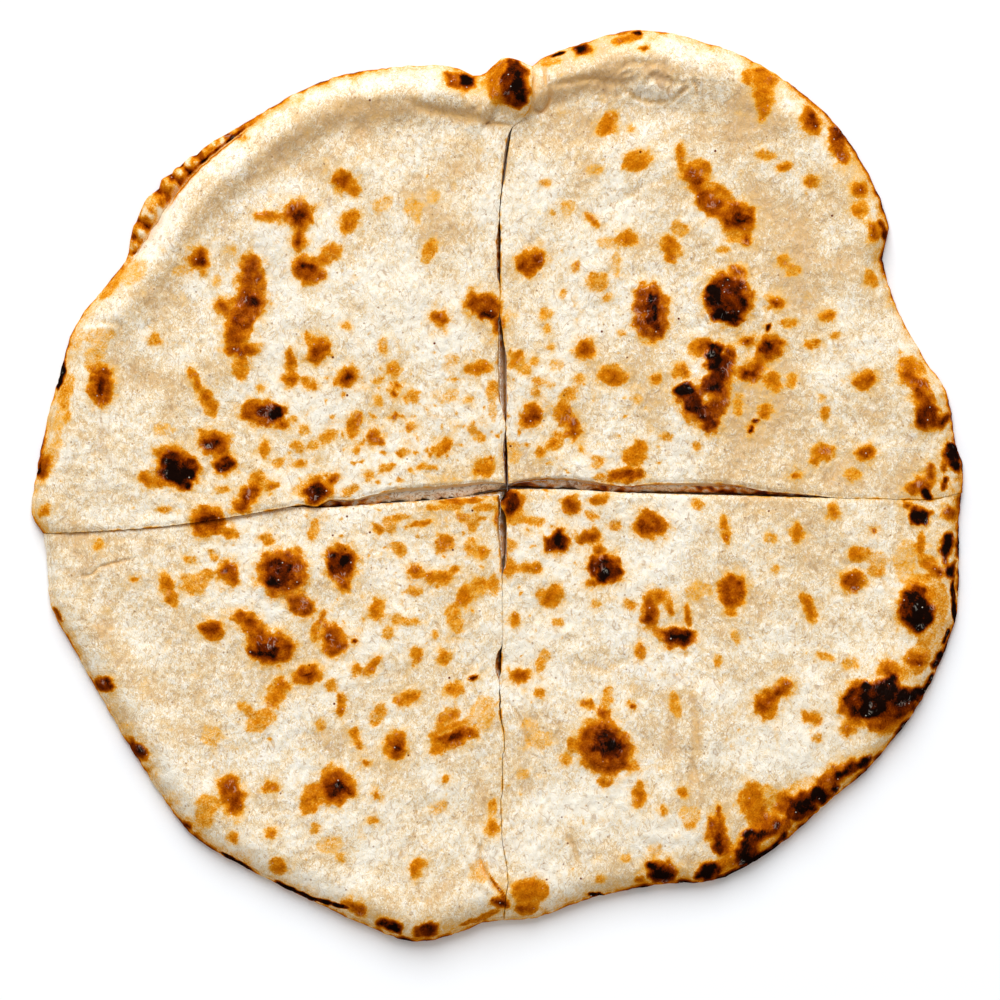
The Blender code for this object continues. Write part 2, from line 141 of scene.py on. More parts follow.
# Scorch marks by how dark they are: place in the photograph, half length, half width if another, and turn
MARKS: dict[Char, tuple[tuple[float, ...], ...]] = {
    Char.BLACK: (
        (275, 413, 9, 8), (179, 472, 19, 13, -45), (467, 79, 10, 7, -15), (60, 376, 16, 3, 78),
        (518, 86, 17, 8, 95), (504, 494, 9, 4, 50), (582, 50, 7, 5, 10), (715, 298, 18, 9, 100),
        (728, 318, 15, 7, -15), (714, 356, 15, 11, 85), (684, 391, 10, 8), (954, 458, 15, 8, -75),
        (926, 494, 9, 5, -40), (344, 560, 9, 7, -60), (606, 742, 14, 9, -30), (917, 610, 20, 15, 95),
        (920, 515, 12, 10), (947, 545, 12, 8, 85), (950, 568, 11, 6, 90), (880, 692, 22, 12, 12),
        (903, 694, 20, 8, -8), (872, 708, 16, 12, 40), (890, 681, 9, 6, 60), (924, 690, 11, 5, 15),
        (863, 763, 11, 6, 30), (842, 773, 9, 5, 30), (834, 789, 5), (818, 796, 13, 11, 60),
        (804, 808, 11, 9, 30), (755, 834, 14, 5, 5), (749, 855, 12, 11, 40), (762, 856, 15, 3, 30),
        (779, 841, 11, 4, 42), (709, 871, 12, 8, 30), (661, 872, 14, 10, -25), (650, 866, 5, 4, -40),
        (939, 660, 11, 5, 55), (954, 602, 22, 2, 94), (947, 637, 8, 2, 65), (930, 682, 8, 3, 60),
        (596, 895, 9, 2, -5), (768, 328, 3.5, 2, 65), (751, 430, 3, 2, 60), (756, 420, 3, 1.5),
        (355, 640, 3, 2.5), (340, 789, 2.5), (473, 677, 5, 2, 15), (556, 541, 7, 6, 80), (603, 573, 9, 7),
        (677, 637, 9, 4, -5), (225, 465, 6, 4), (741, 221, 6, 4), (650, 298, 8, 4, 85), (655, 313, 11, 5, 80),
        (390, 927, 12, 5, -20), (279, 885, 5, 3, -30), (298, 893, 20, 1.8, -25), (236, 862, 18, 1.4, -30),
        (331, 904, 18, 1.6, -15), (722, 309, 9, 8, 45), (558, 53, 7, 1.2, 15), (257, 654, 9, 4),
        (637, 32, 5, 2), (746, 862, 8, 4, 30), (700, 876, 6, 3, 20),
    ),
    Char.DARK: (
        (515, 84, 27, 15, 95), (299, 216, 9), (200, 261, 8, 7, 60), (254, 301, 11, 8, -20), (268, 411, 14, 9),
        (212, 443, 10, 8), (225, 464, 10, 9), (39, 469, 8, 3, 85), (101, 386, 13, 7, 85),
        (349, 377, 8, 6, 20), (488, 315, 12, 7, 12), (317, 492, 13, 10, 50), (208, 519, 12, 5, 15),
        (583, 49, 10, 6, 15), (740, 219, 11, 9), (712, 873, 16, 9, 20), (661, 872, 17, 13, -20),
        (812, 120, 9, 7, -75), (838, 133, 10, 7, -35), (653, 311, 21, 10, 85), (767, 347, 10, 9, 60),
        (750, 372, 8, 6), (720, 300, 23, 15, 100), (709, 385, 12, 8, 50), (708, 418, 15, 9, -65),
        (690, 400, 20, 12, -45), (720, 373, 20, 11, 75), (728, 300, 25, 20, 100), (927, 416, 14, 12, -20),
        (945, 419, 9, 5, 45), (865, 379, 5, 4), (884, 231, 12, 4, -70), (279, 574, 18, 17),
        (342, 564, 16, 14, -60), (266, 650, 15, 9, -10), (336, 789, 12, 10), (104, 685, 9, 8, -60),
        (138, 750, 15, 7, -60), (188, 826, 6, 4, -40), (389, 925, 14, 7, -20), (426, 931, 13, 8, 10),
        (557, 541, 13, 12, 80), (606, 570, 18, 15, -10), (678, 637, 17, 10, -12), (608, 745, 20, 16, -35),
        (950, 511, 6, 5), (718, 843, 12, 7, 85), (880, 702, 39, 19, -6), (916, 608, 23, 19, 95),
        (500, 902, 6, 8, 70), (649, 619, 7, 6), (917, 663, 6, 4), (307, 267, 10, 7), (178, 469, 21, 17, -50),
        (226, 571, 5), (776, 305, 4, 3, 60), (346, 790, 8, 7), (307, 674, 7, 4, 20), (396, 748, 8, 7),
        (455, 736, 10, 6), (511, 503, 12, 10, 90), (803, 806, 20, 13, 40), (750, 848, 20, 12, 40),
        (772, 832, 16, 6, 40), (848, 770, 18, 7, 30), (862, 708, 16, 13), (945, 484, 8, 3, 80),
    ),
    Char.BROWN: (
        (343, 181, 11), (461, 80, 19, 11, -8), (512, 83, 25, 18, 97), (298, 214, 16),
        (497, 886, 13, 0.8, -56), (199, 259, 14, 12, 90), (253, 302, 16, 15), (262, 413, 23, 14, -3),
        (280, 424, 8, 6, -40), (214, 443, 17, 13, -10), (225, 464, 13, 11, -10), (178, 469, 23, 20, -50),
        (299, 240, 13, 6, 85), (307, 270, 17, 14, -20), (251, 285, 20, 12, 90), (243, 315, 22, 14, 80),
        (250, 266, 13, 12, 90), (248, 281, 9, 8, 90), (224, 307, 9, 8), (236, 330, 17, 13, 80),
        (242, 350, 18, 8), (101, 384, 22, 14, 85), (43, 468, 14, 8, 80), (318, 351, 14, 12, 70),
        (291, 379, 8, 7), (441, 319, 10, 8, -15), (376, 438, 9), (347, 378, 13, 11, 15),
        (484, 306, 20, 15, -25), (498, 324, 11, 7, 90), (317, 492, 15, 13, 50), (333, 478, 9, 5, 35),
        (247, 498, 18, 10, 50), (209, 521, 19, 15, 10), (531, 262, 17, 12, 20), (738, 217, 19, 17),
        (694, 178, 17, 11, -55), (710, 202, 19, 12, -50), (747, 238, 8, 6, -70), (811, 121, 15, 11, -75),
        (840, 149, 17, 10, -68), (860, 190, 10, 9), (873, 233, 11, 7, 85), (651, 312, 31, 19, 94),
        (728, 299, 28, 25, 95), (738, 271, 9, 7), (775, 303, 9, 8), (747, 341, 7, 6), (704, 347, 12, 9, 20),
        (729, 366, 22, 8, 85), (719, 400, 22, 11, 80), (690, 406, 20, 11, -50), (770, 347, 15, 14, 60),
        (751, 371, 14, 11, 25), (760, 360, 7, 6, 50), (585, 349, 12, 10, 80), (532, 416, 14, 11, 55),
        (573, 428, 13, 8, -80), (626, 476, 19, 8, 5), (865, 379, 11, 10), (866, 453, 10, 9),
        (912, 379, 13, 9, -35), (923, 398, 19, 11, -75), (930, 424, 17, 8), (930, 474, 12, 6, -80),
        (945, 461, 14, 4, 85), (920, 488, 14, 10), (281, 573, 26, 25), (342, 563, 19, 17, -75),
        (343, 585, 7, 8), (300, 604, 15, 12, -30), (229, 573, 12, 13), (212, 629, 13, 11),
        (246, 620, 16, 10, -25), (271, 648, 25, 18, -5), (257, 633, 13, 12, -45), (334, 641, 18, 12, -70),
        (307, 675, 14, 11, 15), (337, 787, 19, 18), (396, 746, 15, 12, 85), (452, 735, 20, 11, 10),
        (470, 734, 8, 6, 30), (415, 572, 8), (232, 796, 22, 12, -80), (57, 615, 9, 3, -60),
        (354, 907, 14, 7, -20), (512, 503, 15, 12, 90), (571, 505, 11, 10, 90), (588, 538, 13, 8, 20),
        (650, 525, 18, 14, -20), (650, 611, 20, 9, 92), (733, 591, 18, 15, 75), (766, 703, 15, 12, 60),
        (782, 688, 13, 9, 30), (917, 660, 13, 9, 15), (519, 676, 10, 8), (526, 909, 13, 7, 5),
        (766, 824, 15, 10, 30), (888, 669, 10, 9, 90), (880, 703, 42, 23, -6), (855, 712, 15, 12, -30),
        (880, 721, 19, 13, -10), (950, 512, 10, 9, 90), (916, 608, 26, 21, 95), (936, 570, 12, 7, -50),
        (718, 836, 21, 11, 97), (718, 813, 8, 3.5, 90), (788, 802, 17, 12, 25), (838, 775, 26, 11, 32),
        (768, 836, 34, 10, 35), (852, 581, 13, 11, -30), (605, 748, 31, 26, -45), (760, 71, 8, 4, 10),
        (591, 583, 6, 4), (600, 550, 6), (604, 715, 8, 6, 90), (640, 880, 6, 4), (364, 763, 4),
        (376, 796, 4, 5), (633, 706, 4, 3), (796, 475, 5, 4), (874, 531, 2.5), (395, 394, 3.5), (398, 385, 3),
        (394, 416, 3, 4), (643, 49, 5, 3, 15), (908, 506, 6, 5),
    ),
    Char.AMBER: (
        (268, 216, 16, 6), (333, 252, 11, 9, 20), (322, 261, 10, 5, 30), (349, 221, 13, 9, 65),
        (196, 380, 14, 6, -62), (208, 402, 16, 8, -72), (152, 480, 14, 8, -15), (161, 452, 8, 7),
        (310, 338, 7, 5, -40), (241, 368, 12, 8, 90), (291, 362, 14, 6, 95), (478, 369, 14, 7, 8),
        (354, 425, 13, 8, 75), (264, 449, 9, 6, 90), (259, 479, 9, 7, 60), (272, 485, 8, 5, 5),
        (229, 533, 10, 6, -20), (45, 511, 7, 6, 40), (484, 467, 11, 10, 30), (499, 82, 24, 16, 92),
        (627, 38, 16, 5, 12), (608, 124, 14, 9, 65), (639, 160, 15, 11, 15), (680, 154, 11, 6, -75),
        (701, 170, 10, 9), (721, 193, 15, 7, -42), (763, 95, 24, 10, 92), (760, 78, 20, 8),
        (784, 167, 8, 5, 10), (812, 181, 9, 7), (671, 249, 14, 10, 95), (859, 211, 8), (782, 260, 8, 7),
        (353, 187, 11, 7, -30), (772, 383, 10, 9, -45), (613, 376, 16, 12), (517, 359, 8, 9),
        (565, 414, 14, 9, -75), (636, 454, 14, 11, 40), (764, 412, 9, 8, 60), (823, 452, 12, 9),
        (815, 461, 7, 5, 30), (911, 366, 15, 10, -10), (871, 279, 9, 6, -60), (168, 589, 19, 8, -70),
        (267, 540, 7, 6, -20), (377, 609, 12, 9, 85), (278, 692, 18, 10, 60), (341, 705, 13, 5, 90),
        (408, 697, 14, 8, 15), (417, 655, 9, 7, 80), (446, 544, 11, 9, 10), (465, 598, 12, 9, 60),
        (311, 800, 17, 11, 55), (278, 867, 10), (418, 868, 12, 8, 60), (492, 828, 9, 7, 90),
        (600, 499, 10, 6, 20), (530, 569, 13, 6, 5), (508, 567, 8), (551, 596, 14, 11, 25),
        (515, 620, 8, 6, 90), (640, 651, 9, 6, 80), (688, 616, 13, 4, 92), (663, 634, 9, 7),
        (726, 530, 16, 5, -80), (797, 533, 10, 7, 90), (833, 511, 9, 6, 90), (859, 554, 10, 8),
        (809, 608, 17, 8, -65), (639, 794, 14, 8, 88), (812, 718, 12, 7, -20), (849, 730, 9, 8),
        (754, 803, 24, 14, 100), (735, 862, 46, 9, 22), (529, 891, 19, 15, 8), (592, 902, 8, 4, 10),
        (480, 918, 22, 3, 20), (462, 501, 22, 2.5, 3), (497, 517, 10, 3, 90), (921, 545, 14, 5, 90),
        (606, 783, 9, 5), (576, 744, 9), (632, 766, 7, 6), (588, 704, 7, 6, -20), (658, 597, 13, 7, -10),
        (670, 607, 10, 4, -75), (733, 852, 9, 6, -50), (732, 612, 6, 5, 90), (315, 632, 9, 5, 80),
        (322, 617, 8, 3, 70), (447, 717, 14, 8, 20), (438, 750, 9, 7), (454, 690, 10, 9), (438, 578, 15, 8),
        (681, 371, 10, 8), (694, 347, 7, 9), (592, 220, 9, 4, -50), (628, 238, 11, 8), (812, 343, 9, 5, 15),
        (825, 414, 6), (927, 562, 7, 6), (827, 315, 8, 6, 10), (655, 379, 6), (411, 426, 5), (271, 788, 8, 7),
        (234, 838, 8, 5, 90), (270, 832, 7, 6), (328, 769, 5, 7), (443, 448, 12, 8, 40), (357, 450, 4),
        (377, 529, 5, 7, 60), (420, 524, 11, 3, 12), (444, 657, 8, 7, 80), (373, 665, 13, 5, 55),
        (357, 671, 7, 5, 80), (540, 693, 6), (445, 779, 4), (482, 553, 6, 7), (540, 452, 5, 6),
        (556, 440, 8, 7, 30), (155, 340, 6, 7, 80), (135, 580, 4, 3), (863, 213, 4), (682, 792, 6, 5, 90),
        (297, 550, 6, 5), (662, 811, 4, 6), (356, 738, 12, 6, -65), (299, 464, 6, 5), (311, 385, 6, 5),
        (455, 569, 5, 4),
    ),
    Char.GOLDEN: (
        (939, 602, 26, 8, 95), (926, 645, 20, 10, 60), (908, 672, 20, 6, 22), (918, 580, 14, 5, 10),
        (112, 285, 20, 5, 52), (66, 392, 19, 7, 75), (307, 380, 5, 4), (261, 388, 5, 4),
        (430, 251, 13, 7, 68), (384, 346, 8, 5, 80), (394, 370, 9, 8), (377, 380, 6, 4, 20),
        (412, 397, 9, 8, 20), (243, 138, 5, 4), (551, 61, 11, 5, 10), (632, 128, 4), (546, 183, 6, 4),
        (765, 155, 10, 5), (597, 282, 11, 9), (546, 313, 6), (794, 271, 7, 6), (790, 323, 9, 5),
        (580, 379, 5), (852, 475, 9, 6), (195, 583, 14, 11, 20), (190, 560, 6, 4), (206, 575, 8, 6),
        (261, 722, 17, 9, 30), (245, 708, 9, 5, -40), (378, 715, 12, 7, 65), (486, 716, 6, 7, 60),
        (414, 591, 9, 5, 10), (479, 585, 10, 9, 60), (495, 586, 5, 9), (206, 804, 12, 10), (204, 820, 8, 9),
        (314, 828, 5), (373, 820, 6, 4), (516, 518, 9, 6), (535, 522, 9, 5), (592, 516, 7, 5, -20),
        (615, 525, 7, 5, -30), (594, 604, 5), (557, 623, 6, 5), (630, 604, 7, 5), (770, 538, 6, 5),
        (875, 571, 8, 6), (776, 570, 4), (607, 697, 11, 5, 80), (566, 759, 6, 5), (675, 704, 13, 6, -80),
        (736, 637, 7, 4, -70), (717, 661, 6, 4, 90), (697, 504, 8, 5, -20), (825, 657, 9, 4, -20),
        (850, 664, 7, 6), (817, 737, 5, 4), (600, 880, 6, 5), (691, 825, 5), (625, 858, 5, 4),
        (377, 401, 5, 6), (549, 347, 4), (621, 333, 4, 3), (582, 449, 3), (600, 478, 5, 4),
        (468, 400, 6, 3, 10), (472, 428, 4, 5), (493, 389, 6, 9), (480, 437, 6, 5), (425, 467, 10, 3, 5),
        (387, 468, 9, 4, 25), (369, 476, 5, 6), (404, 452, 6, 4, 30), (350, 491, 10, 5, 30),
        (463, 517, 9, 5, -30), (474, 524, 9, 6, 60), (450, 507, 10, 3), (433, 508, 8, 3), (391, 525, 6, 8),
        (483, 508, 10, 4), (400, 517, 9, 3), (314, 530, 12, 5, 80), (398, 550, 8, 9, 70), (471, 546, 6, 8),
        (397, 620, 6), (411, 622, 9, 4), (387, 634, 4, 6), (435, 636, 4), (331, 685, 6),
        (328, 436, 10, 6, 20), (312, 446, 6, 4), (298, 447, 7, 6), (278, 463, 6, 5), (304, 430, 5),
        (292, 420, 4), (548, 329, 4, 5), (563, 294, 4, 5), (576, 265, 4, 7), (608, 297, 4), (525, 371, 6, 5),
        (679, 227, 7, 8), (552, 213, 3), (535, 362, 3, 4), (538, 382, 5, 4), (535, 392, 5, 4),
        (493, 807, 8, 5, 90), (822, 398, 4), (667, 437, 6, 5), (698, 447, 5), (722, 250, 7, 3),
        (792, 380, 5, 7), (836, 335, 6, 3, 10), (565, 396, 5), (573, 392, 6, 5), (597, 463, 6, 8),
        (553, 445, 6, 5), (508, 545, 7, 8), (165, 510, 7, 4), (222, 490, 7, 4), (65, 418, 5, 6),
        (98, 545, 4, 6), (213, 556, 6, 4, -50), (340, 858, 4), (320, 725, 5, 6), (735, 235, 12, 8, 30),
        (545, 655, 5, 6), (540, 665, 5, 7), (453, 729, 25, 4, 20), (739, 405, 5, 12), (455, 619, 9, 14, 30),
        (347, 326, 5),
    ),
    Char.FAINT: (
        (135, 272, 16, 8, 50), (382, 204, 11, 7, 20), (413, 208, 10, 11), (434, 197, 6),
        (213, 737, 9, 13, 20), (523, 774, 7, 6), (100, 335, 16, 7, 10), (95, 355, 14, 8, 60),
        (540, 740, 12, 8), (530, 725, 8), (655, 850, 8, 5), (180, 272, 8, 5), (218, 281, 6, 4, 80),
        (165, 430, 12, 6), (595, 170, 8, 6), (480, 870, 12, 9, 90), (440, 808, 10, 6, 30),
        (300, 490, 12, 5, 10), (606, 243, 10, 5), (616, 264, 14, 4, 85), (568, 208, 7, 9), (700, 590, 14, 10),
        (880, 560, 10, 8), (905, 560, 10, 20), (930, 620, 18, 7, 70), (935, 640, 14, 8, 60),
        (800, 790, 20, 8, 30), (690, 815, 10, 8), (770, 795, 10, 8), (556, 364, 8, 5), (550, 384, 5, 3),
        (493, 410, 5, 10), (514, 452, 7, 10), (637, 399, 5), (449, 396, 11, 6, 30), (452, 360, 8, 6),
        (482, 714, 18, 13, 60), (230, 250, 6, 5), (90, 290, 16, 7, 55), (75, 340, 12, 7, 75),
        (60, 420, 16, 7, 80), (55, 450, 14, 6, 85), (170, 160, 12, 7, 40), (240, 120, 18, 7, 30),
        (330, 845, 14, 8),
    ),
}

LIGHT_SRGB = {
    "flour": (250, 242, 224),
    "milk": (245, 230, 202),
    "cream": (234, 208, 165),
    "tan": (222, 182, 128),
    "beige": (218, 184, 136),
    "crease_shade_tan": (188, 148, 104),
    "straw": (240, 192, 106),
    "golden": (236, 168, 38),
    "amber": (212, 122, 8),
    "brown": (164, 76, 4),
    "dark": (108, 36, 0),
    "black": (22, 10, 6),
    "fibre_and_glint_white": (254, 249, 239),
    "speck": (150, 98, 50),
    "crumb": (243, 229, 202),
    "streak": (186, 152, 118),
    "cheese": (242, 237, 222),
    "curd": (255, 253, 246),
    "floor": (250, 252, 255),
}


def linear(name: str) -> tuple[float, float, float, float]:
    """A named colour as the shaders take it: linear red, green and blue, and an alpha of one."""
    channels = (value / 255 for value in LIGHT_SRGB[name])
    return *(c / 12.92 if c <= 0.04045 else ((c + 0.055) / 1.055) ** 2.4 for c in channels), 1.0


def from_photo(px: Array | float, py: Array | float) -> tuple[Array, Array]:
    """Millimetres on the bread of a place in the photograph, in pixels from its left and upper sides."""
    return (np.asarray(px) - PIXEL_MIDDLE[0]) * PIXEL_MM, (PIXEL_MIDDLE[1] - np.asarray(py)) * PIXEL_MM


def on_skin(px: float, py: float) -> tuple[Array, Array]:
    """Places on top of the bread that show at pixels in the photograph, where what is nearer spreads."""
    shrink = 1 - BODY_HEIGHT * MM / CAMERA_HEIGHT
    return from_photo(VIEW_MIDDLE + (px - VIEW_MIDDLE) * shrink, VIEW_MIDDLE + (py - VIEW_MIDDLE) * shrink)


def smooth(value: Array, low: float, high: float) -> Array:
    """Eases from 0 where the value is low to 1 where it is high."""
    share = np.clip((value - low) / (high - low), 0, 1)
    return share * share * (3 - 2 * share)


def bell(away: Array, width: float | Array) -> Array:
    """A soft bump: one where nothing is away, and near zero past twice the width."""
    return np.exp(-((away / width) ** 2))


def along(values: Row | Array, share: Array) -> Array:
    """Reads a row of evenly spaced values at shares from 0 to 1."""
    return np.interp(share, np.linspace(0, 1, len(values)), values)


def turned(dx: Array, dy: Array, degrees: float) -> tuple[Array, Array]:
    """Offsets measured along a direction and square to it."""
    turn = math.radians(degrees)
    return dx * math.cos(turn) + dy * math.sin(turn), dy * math.cos(turn) - dx * math.sin(turn)


def square_to(line: Array) -> Array:
    """Unit vectors to the left of a line's way.

    Args:
        line: Its points.

    Returns:
        One vector for each point.
    """
    way = np.gradient(line, axis=0)
    way /= np.maximum(np.linalg.norm(way, axis=1, keepdims=True), 1e-9)
    return np.column_stack([-way[:, 1], way[:, 0]])


def curve_through(points: Points | Array, samples: int = LINE_SAMPLES) -> Array:
    """Evenly spaced points on the smooth curve through the given ones.

    Args:
        points: What the curve passes through.
        samples: How many points are wanted.

    Returns:
        An array of x and y.
    """
    knots = np.array(points, float)
    knots = np.vstack([2 * knots[0] - knots[1], knots, 2 * knots[-1] - knots[-2]])
    u = np.linspace(0, 1, CURVE_STEPS, endpoint=False)[:, None]
    runs = [
        b + 0.5 * ((c - a) * u + (2 * a - 5 * b + 4 * c - d) * u**2 + (3 * b - a - 3 * c + d) * u**3)
        for a, b, c, d in zip(knots[:-3], knots[1:-2], knots[2:-1], knots[3:])
    ]
    curve = np.vstack([*runs, knots[-2:-1]])
    gone = np.concatenate([[0.0], np.cumsum(np.linalg.norm(np.diff(curve, axis=0), axis=1))])
    wanted = np.linspace(0, gone[-1], samples)
    return np.column_stack([np.interp(wanted, gone, curve[:, axis]) for axis in (0, 1)])


@dataclass(frozen=True)
class Grain:
    """A smooth random field over the plane, with one bump in about each `size` millimetres."""

    seed: int
    size: float
    cells: int = 96

    def at(self, x: Array, y: Array) -> Array:
        """Values of about -1 to 1 at places in millimetres.

        Args:
            x: Places in millimetres.
            y: Places in millimetres.

        Returns:
            One value for each place.
        """
        turns = np.random.default_rng(self.seed).uniform(0, 2 * math.pi, (self.cells, self.cells))
        across, up = np.cos(turns), np.sin(turns)
        u, v = x / self.size + self.cells / 2, y / self.size + self.cells / 2
        column, row = np.floor(u).astype(int), np.floor(v).astype(int)
        du, dv = u - column, v - row

        def pull(right: int, above: int) -> Array:
            """Rise from one corner of each place's cell."""
            spot = (column + right) % self.cells, (row + above) % self.cells
            return across[spot] * (du - right) + up[spot] * (dv - above)

        ease_u, ease_v = (d**3 * (d * (d * 6 - 15) + 10) for d in (du, dv))
        low = pull(0, 0) + ease_u * (pull(1, 0) - pull(0, 0))
        high = pull(0, 1) + ease_u * (pull(1, 1) - pull(0, 1))
        return 1.5 * (low + ease_v * (high - low))


@dataclass(frozen=True)
class Swell:
    """A soft mound in the dough, or a hollow where its height is below zero, as in the solids."""

    x: float
    y: float
    along: float
    across: float
    turn: float
    height: float

    def at(self, x: Array, y: Array) -> Array:
        """Height that it adds at each place."""
        a, b = turned(x - self.x, y - self.y, self.turn)
        return self.height * np.exp(-((a / self.along) ** 2 + (b / self.across) ** 2))


@dataclass(frozen=True)
class Crease:
    """A pinched line in the dough, through places in the photograph. A depth below zero makes it a ridge."""

    line: Points
    depth: float
    width: float

    def at(self, x: Array, y: Array) -> Array:
        """Height that it adds at each place.

        Args:
            x: Places in millimetres.
            y: Places in millimetres.

        Returns:
            Millimetres.
        """
        path = np.column_stack(from_photo(*np.array(self.line, float).T))
        path = curve_through(path, 4 * len(path))
        nearest, share = np.full(x.shape, np.inf), np.zeros(x.shape)
        for step, (start, end) in enumerate(zip(path[:-1], path[1:])):
            way = end - start
            gone = np.clip(((x - start[0]) * way[0] + (y - start[1]) * way[1]) / (way @ way), 0, 1)
            far = np.hypot(x - start[0] - gone * way[0], y - start[1] - gone * way[1])
            share = np.where(far < nearest, (step + gone) / (len(path) - 1), share)
            nearest = np.minimum(far, nearest)
        fade = np.sin(np.pi * np.clip(share, 0.02, 0.98)) ** 0.5
        return -self.depth * fade * bell(nearest, self.width)


@dataclass(frozen=True)
class Zone:
    """A soft patch round a place in the photograph, with its half length and half width in pixels there."""

    px: float
    py: float
    length: float
    width: float
    turn: float
    amount: float

    def at(self, x: Array, y: Array) -> Array:
        """What it adds at each place."""
        half = self.length * PIXEL_MM, self.width * PIXEL_MM
        return Swell(*on_skin(self.px, self.py), *half, self.turn, self.amount).at(x, y)


def each(kind: type, *rows: tuple) -> tuple:
    """One thing of the kind for each row of its values."""
    return tuple(kind(*row) for row in rows)


def sum_of(things: tuple, x: Array, y: Array) -> Array:
    """What all the things add at each place."""
    return sum(thing.at(x, y) for thing in things)


# Broad light and shade of the skin painted into its colour, with some of the dough's own tone: above zero
# whiter and floury (painted light), below zero deeper cream (painted shade)
SHADE_AND_TONE_ZONES = each(
    Zone,
    (600, 82, 120, 38, 4, -0.75), (775, 185, 85, 45, -52, -1.0), (815, 265, 60, 40, 90, -0.6),
    (745, 425, 60, 60, 0, -0.45), (810, 480, 70, 28, 0, -0.6), (870, 375, 45, 40, 0, -0.7),
    (730, 575, 45, 60, 0, -0.55), (800, 610, 55, 35, 0, -0.5), (688, 750, 70, 20, 88, -0.6),
    (505, 715, 50, 30, 60, -0.7), (540, 760, 40, 25, 60, -0.4), (300, 130, 110, 30, 12, -0.5),
    (450, 128, 70, 22, -8, -0.7), (225, 270, 70, 25, 60, -0.8), (110, 400, 70, 22, 75, -0.5),
    (75, 470, 40, 26, 90, -0.8), (150, 545, 80, 24, 5, -0.6), (130, 610, 50, 25, -60, -0.3),
    (270, 330, 40, 30, 0, -0.2), (510, 470, 30, 22, 0, -0.5), (640, 190, 60, 40, 0, -0.2),
    (590, 905, 80, 16, 8, -0.7), (900, 540, 60, 22, 90, -0.5), (420, 200, 40, 50, 0, -0.3),
    (700, 300, 60, 60, 0, -0.25), (480, 790, 30, 50, 0, -0.2), (165, 205, 70, 22, 52, 0.8),
    (110, 310, 50, 18, 62, 0.6), (290, 235, 60, 50, 0, 0.35), (400, 300, 110, 45, 15, 0.5),
    (390, 410, 70, 60, 0, 0.6), (340, 560, 70, 60, 0, 0.7), (270, 660, 40, 60, 0, 0.6),
    (400, 620, 60, 80, 0, 0.5), (230, 740, 60, 50, 0, 0.3), (270, 870, 60, 25, -30, 0.9),
    (380, 890, 60, 25, -15, 0.8), (540, 860, 30, 60, 0, 0.7), (675, 540, 40, 30, 0, 0.5),
    (865, 630, 35, 50, 0, 0.4), (790, 750, 60, 40, 20, 0.9), (600, 250, 60, 70, 0, 0.3),
    (640, 640, 50, 60, 0, 0.4), (600, 800, 50, 40, 0, 0.2), (210, 500, 60, 20, 10, 0.3),
    (570, 180, 40, 50, 0, 0.35), (910, 300, 40, 25, 100, 0.4), (345, 75, 80, 14, 14, 0.4),
    (537, 78, 8, 20, 90, -0.7), (600, 78, 60, 8, 8, -0.5),
)

# Where melted cheese lies on the browned skin and keeps it pale
PALE = each(
    Zone,
    (952, 497, 11, 5, 90, 1.1), (951, 560, 6, 3.5, 60, 1.0), (925, 504, 8, 3.5, -15, 1.0),
    (934, 505, 5, 5, 0, 0.9), (943, 494, 5, 3, 0, 0.8), (768, 842, 12, 4, 30, 0.8),
)

# Where the skin has gathered into fine folds, which are bumped and darkened in their creases as painted shade
FOLDED = each(
    Zone,
    (652, 88, 46, 20, 5, 1.0), (580, 86, 34, 12, 0, 0.7), (455, 118, 50, 12, -10, 0.5),
    (95, 450, 50, 30, 70, 0.45), (110, 565, 60, 18, 10, 0.5), (690, 740, 60, 22, 88, 0.6),
    (530, 745, 60, 25, 60, 0.6), (490, 865, 30, 16, 60, 0.4), (470, 470, 60, 40, 0, 0.3),
)

# Where the skin is oily and glints
WET = each(
    Zone,
    (250, 200, 55, 35, 0, 0.9), (250, 290, 50, 60, 0, 1.0), (335, 250, 40, 40, 0, 0.7),
    (470, 310, 40, 40, 0, 0.5), (650, 310, 50, 50, 0, 1.0), (705, 400, 45, 45, 0, 1.0),
    (735, 290, 40, 40, 0, 0.6), (290, 590, 70, 60, 0, 0.8), (270, 740, 60, 60, 0, 0.8),
    (430, 540, 90, 50, 0, 0.6), (480, 700, 50, 40, 0, 0.9), (640, 660, 60, 50, 0, 1.0),
    (610, 745, 50, 50, 0, 0.8), (670, 560, 50, 50, 0, 0.7), (420, 400, 70, 60, 0, 0.5),
    (600, 430, 60, 60, 0, 0.5), (890, 690, 50, 30, 0, 0.8), (330, 790, 40, 40, 0, 0.6),
    (175, 470, 30, 30, 0, 0.6), (600, 130, 50, 30, 0, 0.4), (550, 60, 30, 20, 0, 0.3),
)

SWELLS = each(
    Swell,
    (-60, 66, 10, 7, 40, 1.2), (-38, 81, 6, 5, 0, 1.0), (-19, 83, 16, 7, -10, -1.1),
    (-70, 30, 14, 8, 60, 0.7), (-30, 45, 14, 9, 20, 0.7), (4.2, 100.6, 7.0, 5.4, 90, 3.2),
    (26, 90, 15, 5, 8, -1.2), (41, 99, 11, 4, -12, 1.4), (58, 80, 20, 8, -50, -0.9), (58, 47, 7, 7, 0, 1.4),
    (38, 44, 6, 5, 90, 1.0), (51, 25, 9, 7, 40, 0.9), (93, 64, 6, 5, 90, 0.9), (105, 22, 9, 6, 100, 1.3),
    (104, -30, 6, 5, 90, 2.0), (98, -52, 10, 7, 20, 1.6), (51, -60, 15, 4, 96, 1.3), (28, -62, 8, 8, 0, 1.2),
    (78, -79, 5, 4, 40, 1.3), (83, -40, 12, 8, 30, -0.7), (-4, -92, 9, 4, 100, 1.0), (-54, -22, 8, 7, 0, 0.9),
    (-57, -39, 9, 6, -30, 0.8), (-88, -40, 16, 7, -60, -0.8),
)

